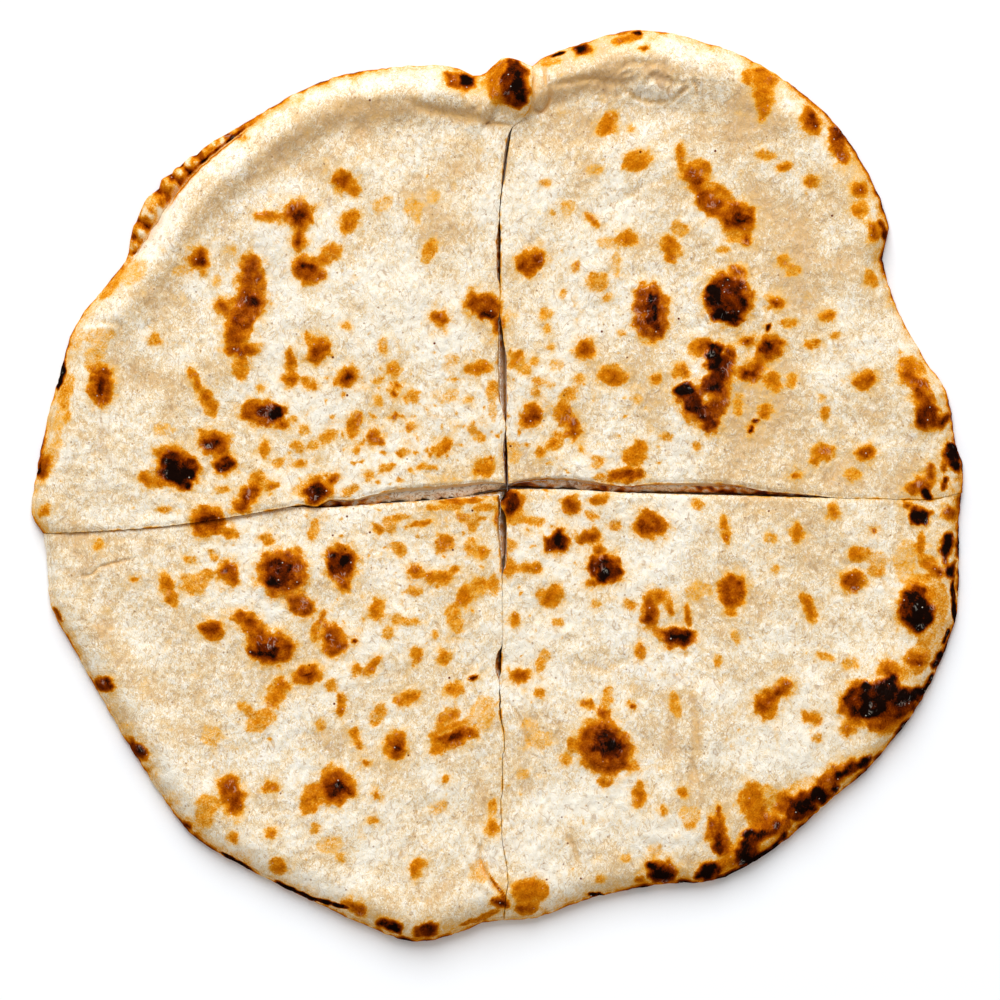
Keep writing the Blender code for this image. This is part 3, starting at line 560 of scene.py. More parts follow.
CREASES = each(
    Crease,
    (((402, 98), (428, 110), (455, 116), (482, 121), (503, 130)), 0.9, 1.3),
    (((300, 122), (345, 108), (395, 104)), 0.4, 2.0), (((415, 66), (416, 84), (418, 98)), 0.3, 0.5),
    (((77, 328), (98, 323), (121, 326), (118, 343)), 0.45, 0.6),
    (((78, 577), (93, 574), (101, 567), (119, 562), (136, 558)), 0.6, 0.4),
    (((95, 545), (130, 538), (170, 545)), 0.25, 0.9),
    (((543, 57), (544, 68), (545, 80), (546, 88)), 1.5, 0.5),
    (((549, 87), (570, 84), (590, 80), (608, 83), (624, 85)), 0.9, 0.8),
    (((533, 109), (540, 113), (547, 107), (550, 97), (549, 88)), 1.1, 0.5),
    (((532, 64), (533, 80), (533, 95), (532, 108)), 0.8, 0.5),
    (((470, 113), (480, 108), (487, 101)), 0.4, 0.8), (((485, 124), (500, 125), (512, 127)), 0.6, 0.5),
    (((622, 88), (635, 98), (652, 103), (672, 101)), 0.8, 0.8),
    (((672, 103), (680, 94), (690, 88)), 0.7, 0.5), (((697, 98), (695, 88), (692, 80)), 0.7, 0.5),
    (((693, 75), (699, 84), (699, 97)), -0.9, 0.5), (((622, 66), (632, 64), (652, 66), (664, 74)), 0.5, 1.2),
    (((662, 68), (668, 80), (676, 84), (690, 86)), 0.45, 0.5), (((618, 78), (624, 72), (632, 70)), -0.7, 0.6),
    (((690, 690), (697, 730), (693, 770), (686, 800)), 0.7, 1.3),
    (((679, 690), (684, 730), (680, 768)), -0.5, 1.2), (((668, 700), (671, 735), (666, 775)), 0.35, 1.0),
    (((505, 700), (517, 712), (526, 735), (531, 752)), 0.5, 0.5),
    (((531, 752), (545, 772), (543, 795), (552, 815)), 0.35, 0.6),
    (((562, 832), (575, 848), (578, 872)), 0.5, 0.6),
    (((483, 838), (480, 855), (485, 872), (494, 885), (505, 897)), 0.8, 0.5),
    (((475, 845), (473, 862), (480, 880), (492, 895)), -0.5, 1.0),
    (((700, 500), (694, 560), (704, 620), (700, 690)), 0.3, 1.2),
    (((575, 660), (600, 668), (628, 660)), 0.3, 1.2), (((600, 212), (640, 190), (655, 186)), 0.35, 1.2),
    (((330, 90), (360, 130), (355, 160)), 0.35, 2.0),
)


class Scorching:
    """Where and how far the oven has browned the bread."""

    warp_coarse = each(Grain, (11, 5.5), (12, 5.5))
    warp_fine = each(Grain, (13, 1.9), (14, 1.9))
    mottle = Grain(15, 2.3)
    fleck_shape = Grain(16, 2.3)
    fleck_fine = Grain(17, 1.3)
    fleck_spread = Grain(18, 14.0)
    stain_shape = Grain(19, 4.5)
    pepper_places = (
        (365, 525, 34, 0.7), (455, 520, 40, 0.4), (400, 370, 50, 0.25), (575, 855, 50, 0.35),
        (560, 895, 30, 0.5), (345, 150, 60, 0.2), (560, 440, 60, 0.25), (380, 640, 60, 0.2),
        (850, 460, 60, 0.2), (330, 340, 60, 0.2),
    )
    thinnest_pepper = 0.10
    neck = 0.6
    fray = 0.35
    fringe = 0.5
    fringe_heat = 0.40
    halo = 0.28
    fleck_heat = 0.46
    stain_heat = 0.20
    layers = (
        ((Char.FAINT, Char.GOLDEN, Char.AMBER, Char.BROWN), 1.9, 0.2),
        ((Char.DARK,), 1.5, 0.4),
        ((Char.BLACK,), 1.4, 0.4),
    )

    def marks(self, x: Array, y: Array) -> tuple[Array, Array]:
        """Heat of the scorch marks and height of their bubbles.

        Args:
            x: Places in millimetres.
            y: Places in millimetres.

        Returns:
            Heat from 0 to about 1.3, and height in millimetres.
        """
        heat, bubble = np.zeros(x.shape), np.zeros(x.shape)
        warp = zip(self.warp_coarse, self.warp_fine)
        sway_x, sway_y = (0.8 * coarse.at(x, y) + 0.7 * fine.at(x, y) for coarse, fine in warp)
        for layer, slope, wider in self.layers:
            closeness, peak, wide = (np.zeros(x.shape) for _ in range(3))
            for char, (px, py, length, *rest) in ((char, mark) for char in layer for mark in MARKS[char]):
                width, turn = (*rest, 0)[:2] if rest else (length, 0)
                full_heat, full_bubble = char.value
                here_x, here_y = on_skin(px, py)
                half_length, half_width = length * PIXEL_MM + wider, width * PIXEL_MM + wider
                longest = half_length * 1.2 + 6
                near = np.nonzero((abs(x - here_x) < longest) & (abs(y - here_y) < longest))[0]
                if not len(near):
                    continue
                sway = min(1.0, 0.35 * half_width)
                dx = x[near] - here_x + sway * sway_x[near]
                dy = y[near] - here_y + sway * sway_y[near]
                a, b = turned(dx, dy, turn)
                away = np.maximum(np.hypot(a / half_length, b / half_width), 1e-6)
                pull = np.exp(-np.clip(np.hypot(dx, dy) * (1 - 1 / away), -6, 5) / self.neck)
                closeness[near] += pull
                peak[near] += pull * full_heat
                wide[near] += pull * half_width
                dome = np.clip(1 - (away / 1.3) ** 2, 0, 1) ** 1.5
                height = full_bubble * min(1.6, (half_width / 3) ** 0.7)
                bubble[near] = np.maximum(bubble[near], height * dome)
            closeness = np.maximum(closeness, 1e-9)
            peak, wide = peak / closeness, np.maximum(wide / closeness, 0.3)
            beyond = -self.neck * np.log(closeness)
            beyond += self.fray * (self.mottle.at(x, y) + 0.6 * self.fleck_fine.at(x * 1.6, y * 1.6))
            depth = np.clip(-beyond / np.minimum(slope, wide), 0, 1)
            rim_heat = np.minimum(peak, self.fringe_heat)
            inside = rim_heat + (peak - rim_heat) * depth
            layer_heat = inside * (1 - smooth(beyond, -self.fringe, self.fringe))
            fade = 0.5 + 1.1 * np.minimum(peak, 1.0)
            halo = self.halo * np.minimum(peak, 0.8) * np.exp(-np.clip(beyond - 0.3, 0, None) / fade)
            heat = np.maximum(heat, np.maximum(layer_heat, halo * (1 + 0.8 * self.fleck_shape.at(x, y))))
        return heat * (1 + 0.22 * self.mottle.at(x + 50, y)), bubble

    def flecks(self, x: Array, y: Array) -> Array:
        """Heat of the fine golden flecks, which crowd round the crossing.

        Args:
            x: Places in millimetres.
            y: Places in millimetres.

        Returns:
            Heat from 0 to about 0.5.
        """
        middle_x, middle_y = from_photo(445, 470)
        crowd = np.exp(-(((x - middle_x) / 42) ** 2 + ((y - middle_y) / 36) ** 2))
        crowd = 0.22 + 0.84 * crowd + 0.3 * self.fleck_spread.at(x, y)
        blots = 0.7 * self.fleck_shape.at(x, y) + 0.4 * self.fleck_fine.at(x, y)
        stains = 0.8 * self.stain_shape.at(x, y) + 0.35 * self.fleck_shape.at(y, -x) + 0.45 * crowd
        edge = 0.64 - 0.42 * crowd
        specks = self.fleck_heat * smooth(blots, edge, edge + 0.4)
        return np.maximum(specks, self.stain_heat * smooth(stains, 0.30, 1.05))

    def pepper(self, x: Array, y: Array) -> Array:
        """How thickly the tiny black specks lie, from 0 to 1.

        Args:
            x: Places in millimetres.
            y: Places in millimetres.

        Returns:
            One share for each place.
        """
        thick = np.full(x.shape, self.thinnest_pepper)
        for px, py, wide, share in self.pepper_places:
            here_x, here_y = from_photo(px, py)
            thick += share * bell(np.hypot(x - here_x, y - here_y), wide * PIXEL_MM)
        return thick

    def at(self, x: Array, y: Array) -> tuple[Array, Array]:
        """Heat of the top and height of its bubbles.

        Args:
            x: Places in millimetres.
            y: Places in millimetres.

        Returns:
            Heat from 0 to about 1.3, and height in millimetres.
        """
        (heat, bubble), flecks = self.marks(x, y), self.flecks(x, y)
        heat = np.maximum(heat, flecks) + 0.25 * np.minimum(heat, flecks)
        return heat * (1 - np.clip(sum_of(PALE, x, y), 0, 1)), bubble


class Relief:
    """The lie of the top: its mounds, pillows, creases and the dough's own unevenness."""

    pillows = Grain(21, 18.0)
    lumps = Grain(22, 8.5)
    wrinkles = each(Grain, (23, 3.6), (24, 2.1))
    pebble = Grain(25, 1.25)
    fold = each(Grain, (26, 5.0), (27, 2.6))
    fold_place = (652, 84, 52, 21)
    fold_height = 0.8
    pillow_height = 0.56
    lump_height = 0.36
    wrinkle_heights = (0.19, 0.17)
    ridge_height = 0.12
    pebble_height = 0.12

    def at(self, x: Array, y: Array) -> Array:
        """Height over the plain body, at places in millimetres.

        Args:
            x: Places in millimetres.
            y: Places in millimetres.

        Returns:
            Millimetres.
        """
        total = sum_of((*SWELLS, *CREASES), x, y)
        total += self.pillow_height * self.pillows.at(x, y)
        total += self.lump_height * self.lumps.at(x * 1.15, y * 0.85)
        wide, tall = x * 1.3, y * 0.78
        for height, wrinkle in zip(self.wrinkle_heights, self.wrinkles):
            total += height * wrinkle.at(wide, tall)
        total += self.ridge_height * (1 - abs(self.wrinkles[0].at(wide + 31, tall + 7)) * 2)
        total += self.pebble_height * self.pebble.at(x, y)
        px, py, half_x, half_y = self.fold_place
        fold_x, fold_y = from_photo(px, py)
        apart = ((x - fold_x) / (half_x * PIXEL_MM)) ** 2 + ((y - fold_y) / (half_y * PIXEL_MM)) ** 2
        sharp = (1 - abs(self.fold[0].at(x, y * 1.4)) * 1.6) + 0.5 * (1 - abs(self.fold[1].at(x, y)) * 1.6)
        return total + self.fold_height * np.exp(-(apart**1.5)) * sharp


@dataclass(frozen=True)
class Cut:
    """A quarter's cut side: its foot and top lines, and its lift, bulge, char and opening outwards."""

    foot: Points
    top: Points
    lift: Row = (0.0,)
    bulge: Row = (0.05,)
    char: Row = (0.8,)
    open: Row = (1.0,)


@dataclass(frozen=True)
class Quarter:
    """One quarter as in the solids, with its two cuts, and its rim's roll, browning and lip along the rim."""

    name: str
    first: Cut
    last: Cut
    rim: Points
    roll: Row
    toast: Row
    lip: Row = (0.0,)


WEST: Points = (CROSSING, (-11, -3), (-25, -4), (-43, -5.4), (-64, -7.7), (-88, -10.9), (-112.2, -12))
NORTH: Points = (
    CROSSING, (2.8, 9), (2.5, 18), (2.3, 32), (1.2, 45), (1.1, 62), (1.6, 75), (4, 88), (8.2, 94), (9, 104),
)
EAST: Points = (CROSSING, (18, -0.8), (32, -1.6), (60, -2.3), (84, -3), (104, -3.6), (115.2, -2))
SOUTH: Points = (CROSSING, (2.4, -16), (1.7, -20), (1.3, -52), (2, -63), (1.7, -82), (3, -97), (2.2, -107.6))

QUARTERS = (
    Quarter(
        name="quarter_nw",
        first=Cut(
            foot=WEST,
            top=(
                (2.1, 0.8), (-3.5, 1.0), (-10.5, 0.3), (-17.5, -0.25), (-24.6, -0.8), (-32.3, -2.5),
                (-35.8, -3.4), (-41.5, -3.4), (-44.8, -5.0), (-48.5, -4.55), (-53, -5.4), (-58, -6.3),
                (-64.1, -7.4), (-76.4, -9.25), (-88.6, -10.55), (-103.9, -11.5), (-112.4, -11.75),
            ),
            lift=(0.3, 0.3, 0.5, 0.9, 0.9, 0.7, 0.6, 0.3),
            bulge=(1.0, 2.0, 1.6, 0.3, 0.05, 0.0, 0.0),
            char=(0.15, 0.05, 0.05, 0.1, 0.6, 0.7, 0.7, 0.6, 0.5, 0.4, 0.4, 0.4),
        ),
        last=Cut(
            foot=NORTH,
            top=(
                (2.1, 0.8), (1.6, 9), (2.2, 14.3), (1.9, 17), (1.2, 20), (0.4, 22.5), (0.4, 27), (0.15, 31.5),
                (0.4, 36.5), (0.2, 41), (0.8, 43.3), (0.85, 49), (0.5, 51), (0.1, 53), (0, 59), (0, 61.5),
                (0.3, 64), (0.65, 67), (0.75, 70), (1.15, 74), (1.5, 79), (2.3, 85), (3.2, 88.3), (4.1, 89.6),
                (5.9, 91), (8.3, 94), (9, 99), (9, 104),
            ),
            lift=(*(0,) * 14, 0.2, 1.2, 1.0),
            char=(0.8, 0.75, 0.35, 0.1, 0.35, 0.4, 0.5, 0.7, 0.3, 0.4, 0.1, 0.0),
            open=(*(1,) * 6, 0.2, 0),
        ),
        rim=(
            (-115.2, -6.5), (-113.9, 4), (-111.2, 17), (-107.6, 30), (-104.6, 39.3), (-98, 48.2),
            (-88.8, 59.6), (-80.5, 72.3), (-72.9, 80.7), (-60.4, 90.6), (-50, 97.1), (-36.4, 102.2),
            (-14, 104.3), (-4.6, 101.6), (2.1, 106.1),
        ),
        roll=(0.2, 0.4, 0.6, 1.4, 2.0, 2.4, 2.4, 2.4, 2.3, 2.2),
        toast=(
            0.5, 0.3, 0.6, 0.4, 0.7, 0.6, 0.3, 0.6, 0.7, 0.7, 0.6, 0.5, 0.5, 0.7, 0.5, 0.7, 0.2, 0.5, 0.3,
            0.2,
        ),
        lip=(*(0,) * 15, 0.3, 3.4, 4.4, 4.5, 4.1, 3.1, 2.4, 1.8, 1.1, 0.4, *(0,) * 15),
    ),
    Quarter(
        name="quarter_ne",
        first=Cut(
            foot=NORTH,
            top=(
                (3.0, 0.6), (2.7, 9), (2.4, 14.3), (2.6, 19), (2.6, 29), (2.6, 31.5), (1.8, 36.5),
                (1.1, 41.2), (0.92, 43.3), (0.97, 49), (0.97, 51), (1.0, 53), (1.05, 59), (1.1, 61.5),
                (1.0, 64), (0.9, 67), (1.05, 70), (1.5, 74), (2.4, 79), (3.0, 84), (3.6, 87.6), (4.25, 89.6),
                (5.9, 91), (8.3, 94), (9, 99), (9, 104),
            ),
            lift=(*(0,) * 15, -0.9, -0.9),
            char=(0.8, 0.6, 0.3, 0.4, 0.5, 0.5, 0.7, 0.4, 0.1, 0.0),
            open=(*(1,) * 6, 0.2, 0),
        ),
        last=Cut(
            foot=EAST,
            top=(
                (3.0, 0.6), (8.1, 1.6), (15.6, 2), (22.9, 1.3), (31.6, 0), (37.6, 0.5), (48.6, 0.7),
                (58.1, 0.5), (66.9, -1.2), (75, -1.9), (83, -2.75), (86, -3.0), (94.6, -3.05), (101, -3.3),
                (109, -3.2), (115.5, -1.7),
            ),
            bulge=(0.3, 1.3, 1.2, 0.8, 1.0, 0.7, 0.15, 0.0, 0.0),
            char=(0.8, 0.4, 0.1, 0.6, 0.2, 0.1, 0.75, 0.5, 0.7, 0.3, 0.2, 0.7, 0.7),
            open=(*(1,) * 6, 0.4, 0.4),
        ),
        rim=(
            (12.5, 106.5), (20.5, 109.4), (34.8, 113), (50.8, 110.2), (66.5, 103.8), (81.8, 92.2), (91, 79.6),
            (97, 65), (95.7, 56), (99.2, 44.2), (105.8, 31.8), (111.6, 23), (113.5, 12), (115.5, 5),
        ),
        roll=(2.6, 2.4, 2.0, 1.2, 0.6, 0.4, 0.6, 0.2, 0.6, -0.4),
        toast=(
            0.4, 0.6, 0.4, 0.7, 0.4, 0.45, 0.45, 0.5, 0.6, 0.75, 0.7, 0.6, 0.6, 0.7, 0.4, 0.3, 0.5, 0.7, 0.8,
            0.8,
        ),
    ),
    Quarter(
        name="quarter_se",
        first=Cut(
            foot=EAST,
            top=(
                (3.0, -0.8), (17.6, -0.9), (32.4, -1.7), (44.9, -2.05), (59.6, -2.4), (75, -2.84),
                (83, -2.99), (86, -3.1), (94.6, -3.17), (101, -3.42), (109, -3.32), (115.2, -1.82),
            ),
            # The 1.4 at the corner paints the dark of the deep gap at the crossing as char: painted shade
            char=(1.4, 0.7, 0.5, 0.3, 0.7, 0.7, 0.4, 0.6, 0.7),
            open=(*(1,) * 6, 0.3, 0.3),
        ),
        last=Cut(
            foot=SOUTH,
            top=(
                (3.0, -0.8), (2.0, -2.2), (1.1, -3.6), (1.1, -5), (2, -6.6), (2.5, -9), (2.6, -12),
                (2.6, -16.5), (2.5, -19.5), (1.65, -21.5), (1.5, -23), (1.48, -26), (1.52, -38.5),
                (1.25, -42), (1.1, -46), (0.75, -48.5), (0.9, -51), (1.08, -53.5), (1.1, -57), (2.0, -61.75),
                (2.05, -65.5), (1.55, -68), (1.55, -76.5), (1.15, -78), (1.25, -82.3), (1.55, -88.5),
                (2.25, -92.5), (2.75, -95.5), (2.95, -98.8), (2.45, -102), (2.0, -107.6),
            ),
            # The 1.4 at the corner paints the dark of the deep gap at the crossing as char: painted shade
            char=(1.4, 0.3, 0.2, 0.6, 0.6, 0.6, 0.5),
            open=(1, 1, 0.8, 0.25, 0.6, 0.6, 0.5, 0.3, 0.25, 0.25, 0.25, 0.1),
        ),
        rim=(
            (114.6, -11), (114.3, -29), (111.4, -40), (104.6, -54.4), (92.8, -69.2), (83, -77.6), (71.4, -88),
            (60.8, -94.8), (52, -98), (40, -98.7), (24, -102), (10.4, -106.7),
        ),
        roll=(-0.6, 0.2, 0.4, -0.4, -1.0, -1.0, -0.6, -0.4, 0.2, 0.4),
        toast=(
            0.8, 0.9, 0.95, 0.8, 0.8, 0.85, 1.0, 0.9, 0.7, 0.8, 0.9, 0.95, 1.0, 0.9, 0.9, 0.8, 0.4, 0.7, 0.5,
            0.5,
        ),
    ),
    Quarter(
        name="quarter_sw",
        first=Cut(
            foot=SOUTH,
            top=(
                (0.2, -2.7), (0.4, -6.8), (0.2, -12), (0.9, -16.8), (1.0, -20.5), (1.36, -23), (1.36, -26),
                (1.4, -38.5), (0.3, -41.5), (-0.3, -44), (0, -47), (0.6, -48.5), (0.7, -52.5), (0.75, -57),
                (1.85, -61.75), (1.9, -65.5), (1.4, -68), (1.4, -76.5), (1.0, -78), (1.1, -82.3),
                (1.4, -88.5), (2.1, -92.5), (2.6, -95.5), (2.8, -98.8), (2.3, -102), (1.85, -107.4),
            ),
            char=(0.5, 0.2, 0.2, 0.6, 0.6, 0.6, 0.6, 0.7, 0.5, 0.4),
            open=(1, 1, 0.8, 0.25, 0.6, 0.6, 0.5, 0.3, 0.25, 0.25, 0.25, 0.1),
        ),
        last=Cut(
            foot=WEST,
            top=(
                (0.2, -2.7), (-7.7, -2.8), (-14, -3.42), (-24.6, -4.12), (-31.6, -4.64), (-42.9, -5.45),
                (-48.5, -5.3), (-53, -5.55), (-58, -6.42), (-64.1, -7.52), (-76.4, -9.37), (-88.6, -10.67),
                (-103.9, -11.62), (-112.2, -11.87),
            ),
            lift=(0.1, 0.0, -0.4, -0.6, -0.6, -0.5, -0.4, -0.2),
            char=(0.3, 0.4, 0.3, 0.3, 0.5, 0.5, 0.6, 0.6, 0.5, 0.4, 0.4, 0.4),
            open=(1, 1, 1, 0.5, 0.3, 0.3, 0.3),
        ),
        rim=(
            (-3.3, -108.3), (-10, -110.8), (-18, -112.8), (-26.7, -111.3), (-47.3, -102.1), (-68.7, -91),
            (-77.4, -84.4), (-87.8, -69.4), (-96.5, -55), (-104.5, -40.7), (-110.2, -30.2), (-111.4, -19.5),
        ),
        roll=(0.8, 1.0, 0.8, 0.6, 0.6, 0.8, 1.0, 0.8, 0.2, -0.4),
        toast=(
            0.6, 0.7, 0.9, 0.9, 0.7, 0.5, 0.6, 0.5, 0.6, 0.6, 0.7, 0.4, 0.7, 0.5, 0.6, 0.4, 0.5, 0.3, 0.05,
            0.0,
        ),
    ),
)


class Layout:
    """Places on a quarter seen from above.

    t runs from 0 to 1 round the rim, and s from 0 at the corner to 1 at the rim.
    """

    def __init__(self, first: Array, last: Array, rim: Points) -> None:
        """Takes the two cut edges from the corner out, and the rim between them.

        Args:
            first: The first cut's edge.
            last: The last cut's edge.
            rim: Places along the rim between them.
        """
        self.rim = curve_through((first[-1], *rim, last[-1]))
        self.corner = first[0]
        steps = np.linspace(0, 1, len(first))[:, None]
        self.bends = [edge - edge[0] - steps * (edge[-1] - edge[0]) for edge in (first, last)]

    def rim_point(self, t: Array) -> Array:
        """The rim's points at t."""
        return np.column_stack([along(self.rim[:, 0], t), along(self.rim[:, 1], t)])

    def place(self, s: Array, t: Array) -> Array:
        """Points at s and t, following the cuts near them.

        Args:
            s: From the corner to the rim.
            t: Round the rim.

        Returns:
            Their x and y.
        """
        points = self.corner + s[:, None] * (self.rim_point(t) - self.corner)
        for bend, off in zip(self.bends, (t, 1 - t)):
            near = np.clip(1 - off / CUT_INFLUENCE, 0, 1) ** 2
            points += near[:, None] * np.column_stack([along(bend[:, 0], s), along(bend[:, 1], s)])
        return points

    def reach(self, t: Array) -> Array:
        """Distance from the corner to the rim at t."""
        return np.linalg.norm(self.rim_point(t) - self.corner, axis=1)

    def outward(self, t: Array) -> Array:
        """Unit vectors from the corner towards the rim at t."""
        return (self.rim_point(t) - self.corner) / self.reach(t)[:, None]


def foot_edges(quarter: Quarter) -> tuple[Array, Array]:
    """The cut edges where the quarter stands, from the corner out, with a finer slit than the solids have.

    Args:
        quarter: The quarter.

    Returns:
        The first cut's edge and the last cut's.
    """
    lines = [curve_through(cut.foot) for cut in (quarter.first, quarter.last)]
    sides = [square_to(line) * turn * HALF_SLIT for line, turn in zip(lines, (-1, 1))]
    fade = np.clip(1 - np.linspace(0, 1, LINE_SAMPLES) / CORNER_FADE, 0, 1)[:, None] ** 2
    return lines[0] + sides[0] + fade * sides[1][0], lines[1] + sides[1] + fade * sides[0][0]


class Rings:
    """Rings of points from a quarter's corner out to its lip, with about even spaces between them."""

    def __init__(self, coarser: int = 1) -> None:
        """Numbers the points ring by ring.

        Args:
            coarser: What divides how many points lie round each ring.
        """
        self.total = BODY_RINGS + EDGE_RINGS + LIP_RINGS
        self.segments = [0]
        for ring in range(1, self.total + 1):
            widest = WIDEST_RING
            while widest > 6 and ring <= BODY_RINGS / 2 * widest / WIDEST_RING:
                widest //= 2
            self.segments.append(max(widest // coarser, 3))
        self.start = np.concatenate([[0], np.cumsum([n + 1 for n in self.segments])])
        self.ring = np.concatenate([np.full(n + 1, j) for j, n in enumerate(self.segments)])
        share = np.concatenate([np.linspace(0, 1, n + 1) if n else np.zeros(1) for n in self.segments])
        self.t = share - CROWDING * np.sin(2 * math.pi * share) / (2 * math.pi)
        self.body_share = np.clip(self.ring / BODY_RINGS, 0, 1)
        self.edge_turn = np.clip((self.ring - BODY_RINGS) / EDGE_RINGS, 0, 1) * math.pi / 2
        self.lip_share = np.clip((self.ring - BODY_RINGS - EDGE_RINGS) / LIP_RINGS, 0, 1)

    def faces(self) -> Array:
        """Triangles between the rings, as rows of three point numbers."""
        made = []
        for ring in range(self.total):
            inner, outer = self.segments[ring], self.segments[ring + 1]
            a, b = self.start[ring], self.start[ring + 1]
            i = np.arange(max(inner, 1))
            if inner == 0:
                j = np.arange(outer)
                corners = ((np.full(outer, a), b + j, b + j + 1),)
            elif outer == inner:
                corners = ((a + i, b + i, b + i + 1), (a + i, b + i + 1, a + i + 1))
            else:
                k = b + 2 * i
                corners = ((a + i, k, k + 1), (a + i, k + 1, a + i + 1), (a + i + 1, k + 1, k + 2))
            made += [np.column_stack(three) for three in corners]
        return np.concatenate(made)

    def side(self, last: bool) -> Array:
        """Point numbers along a cut, from the corner out."""
        return self.start[1:] - 1 if last else self.start[:-1]


def grid_faces(rows: int, columns: int, keep: Array | None = None) -> Array:
    """Triangles of a grid of points that are numbered row by row.

    Args:
        rows: How many rows of points.
        columns: How many points in a row.
        keep: Which cells are kept, where not all are.

    Returns:
        Rows of three point numbers.
    """
    corner = np.arange(rows * columns).reshape(rows, columns)[:-1, :-1]
    corner = (corner if keep is None else corner[keep]).ravel()
    one = np.column_stack([corner, corner + columns, corner + columns + 1])
    two = np.column_stack([corner, corner + columns + 1, corner + 1])
    return np.concatenate([one, two])


@dataclass
class Surface:
    """Patches of points and triangles that are gathered and then joined where they meet."""

    points: list[Array] = field(default_factory=list)
    faces: list[Array] = field(default_factory=list)
    slots: list[Array] = field(default_factory=list)
    values: dict[str, list[Array]] = field(default_factory=dict)
    count: int = 0

    def add(self, points: Array, faces: Array, slot: int, **values: Array | float) -> None:
        """Adds a patch with its material slot, and a value for each point under each name.

        Args:
            points: Its points in millimetres.
            faces: Its triangles, as rows of three point numbers.
            slot: Its material's number.
            values: What the materials read at its points, by name.
        """
        self.points.append(points)
        self.faces.append(faces + self.count)
        self.slots.append(np.full(len(faces), slot))
        for name, value in values.items():
            spread = np.broadcast_to(np.asarray(value, float), (len(points),))
            self.values.setdefault(name, []).append(spread)
        self.count += len(points)

    def add_grid(self, grid: Array, slot: int, keep: Array | None = None, **values: Array | float) -> None:
        """Adds a patch of points by row and column, with all its cells or the kept ones."""
        self.add(grid.reshape(-1, 3), grid_faces(*grid.shape[:2], keep), slot, **values)

    def object(self, name: str, sharp_angle: float) -> Thing:
        """Makes one object of the patches.

        Args:
            name: The object's name.
            sharp_angle: Degrees between faces past which an edge stays sharp.

        Returns:
            The object, linked to the scene.
        """
        points, faces, slots = (np.concatenate(parts) for parts in (self.points, self.faces, self.slots))
        _, first, same = np.unique(np.round(points, 4), axis=0, return_index=True, return_inverse=True)
        faces = same.reshape(-1)[faces]
        whole = (faces != np.roll(faces, 1, axis=1)).all(axis=1)
        mesh = bpy.data.meshes.new(name)
        mesh.from_pydata((points[first] * MM).tolist(), [], faces[whole].tolist())
        mesh.polygons.foreach_set("material_index", slots[whole].astype(np.int32))
        for key, parts in self.values.items():
            layer = mesh.attributes.new(key, "FLOAT", "POINT")
            layer.data.foreach_set("value", np.concatenate(parts)[first].astype(np.float32))
        shape = bmesh.new()
        shape.from_mesh(mesh)
        bmesh.ops.recalc_face_normals(shape, faces=list(shape.faces))
        shape.to_mesh(mesh)
        shape.free()
        mesh.shade_smooth()
        mesh.set_sharp_from_angle(angle=math.radians(sharp_angle))
        made = bpy.data.objects.new(name, mesh)
        bpy.context.scene.collection.objects.link(made)
        LOG.info("%s: %d points, %d triangles", name, len(mesh.vertices), len(mesh.polygons))
        return made


def level_shares(
    head: Array, foot: Array, gap: float, top: tuple[float, float], lowest: float
) -> tuple[Array, Array, Array]:
    """Where the cheese's room starts and ends on a wall.

    Args:
        head: The wall's upper edge.
        foot: Its lower edge.
        gap: How much room there is over and under the cheese, in millimetres.
        top: The least and the most share of the wall that stands above the room.
        lowest: The most share of the wall that may stand above the room's lower end.

    Returns:
        How tall the wall is in millimetres, and the shares of it down to the room's start and end.
    """
    tall = np.maximum(head[:, 2] - foot[:, 2], 1e-6)
    start = np.clip((head[:, 2] - CHEESE_CEILING - gap) / tall, *top)
    return tall, start, np.clip((head[:, 2] - CHEESE_FLOOR + gap) / tall, start + 0.1, lowest)


def back_face(upper: Array, lower: Array, first: Array, last: Array) -> Array:
    """The upright face that joins the outer edges of an upper and a lower sheet.

    Args:
        upper: The upper sheet, by ring and then round.
        lower: The lower sheet.
        first: The face's own edge in the first cut, from the top down.
        last: Its edge in the last cut.

    Returns:
        Points by row, from the top down, and then round.
    """
    share = np.linspace(0, 1, len(first))[:, None, None]
    face = upper[-1][None] * (1 - share) + lower[-1][None] * share
    face[:, 0], face[:, -1] = first, last
    return face


def put_in_frame(made: Thing, node: str, slot: str, *finishes: Material) -> Thing:
    """Dresses an object, rides it on the frame and lets it stand for its solid.

    Args:
        made: The object.
        node: The solid that it stands for.
        slot: The material slot that it belongs to; not used.
        finishes: Its materials, by their number in the mesh.

    Returns:
        The object.
    """
    for finish in finishes:
        made.data.materials.append(finish)
    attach(made, "root")
    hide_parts(node)
    return made


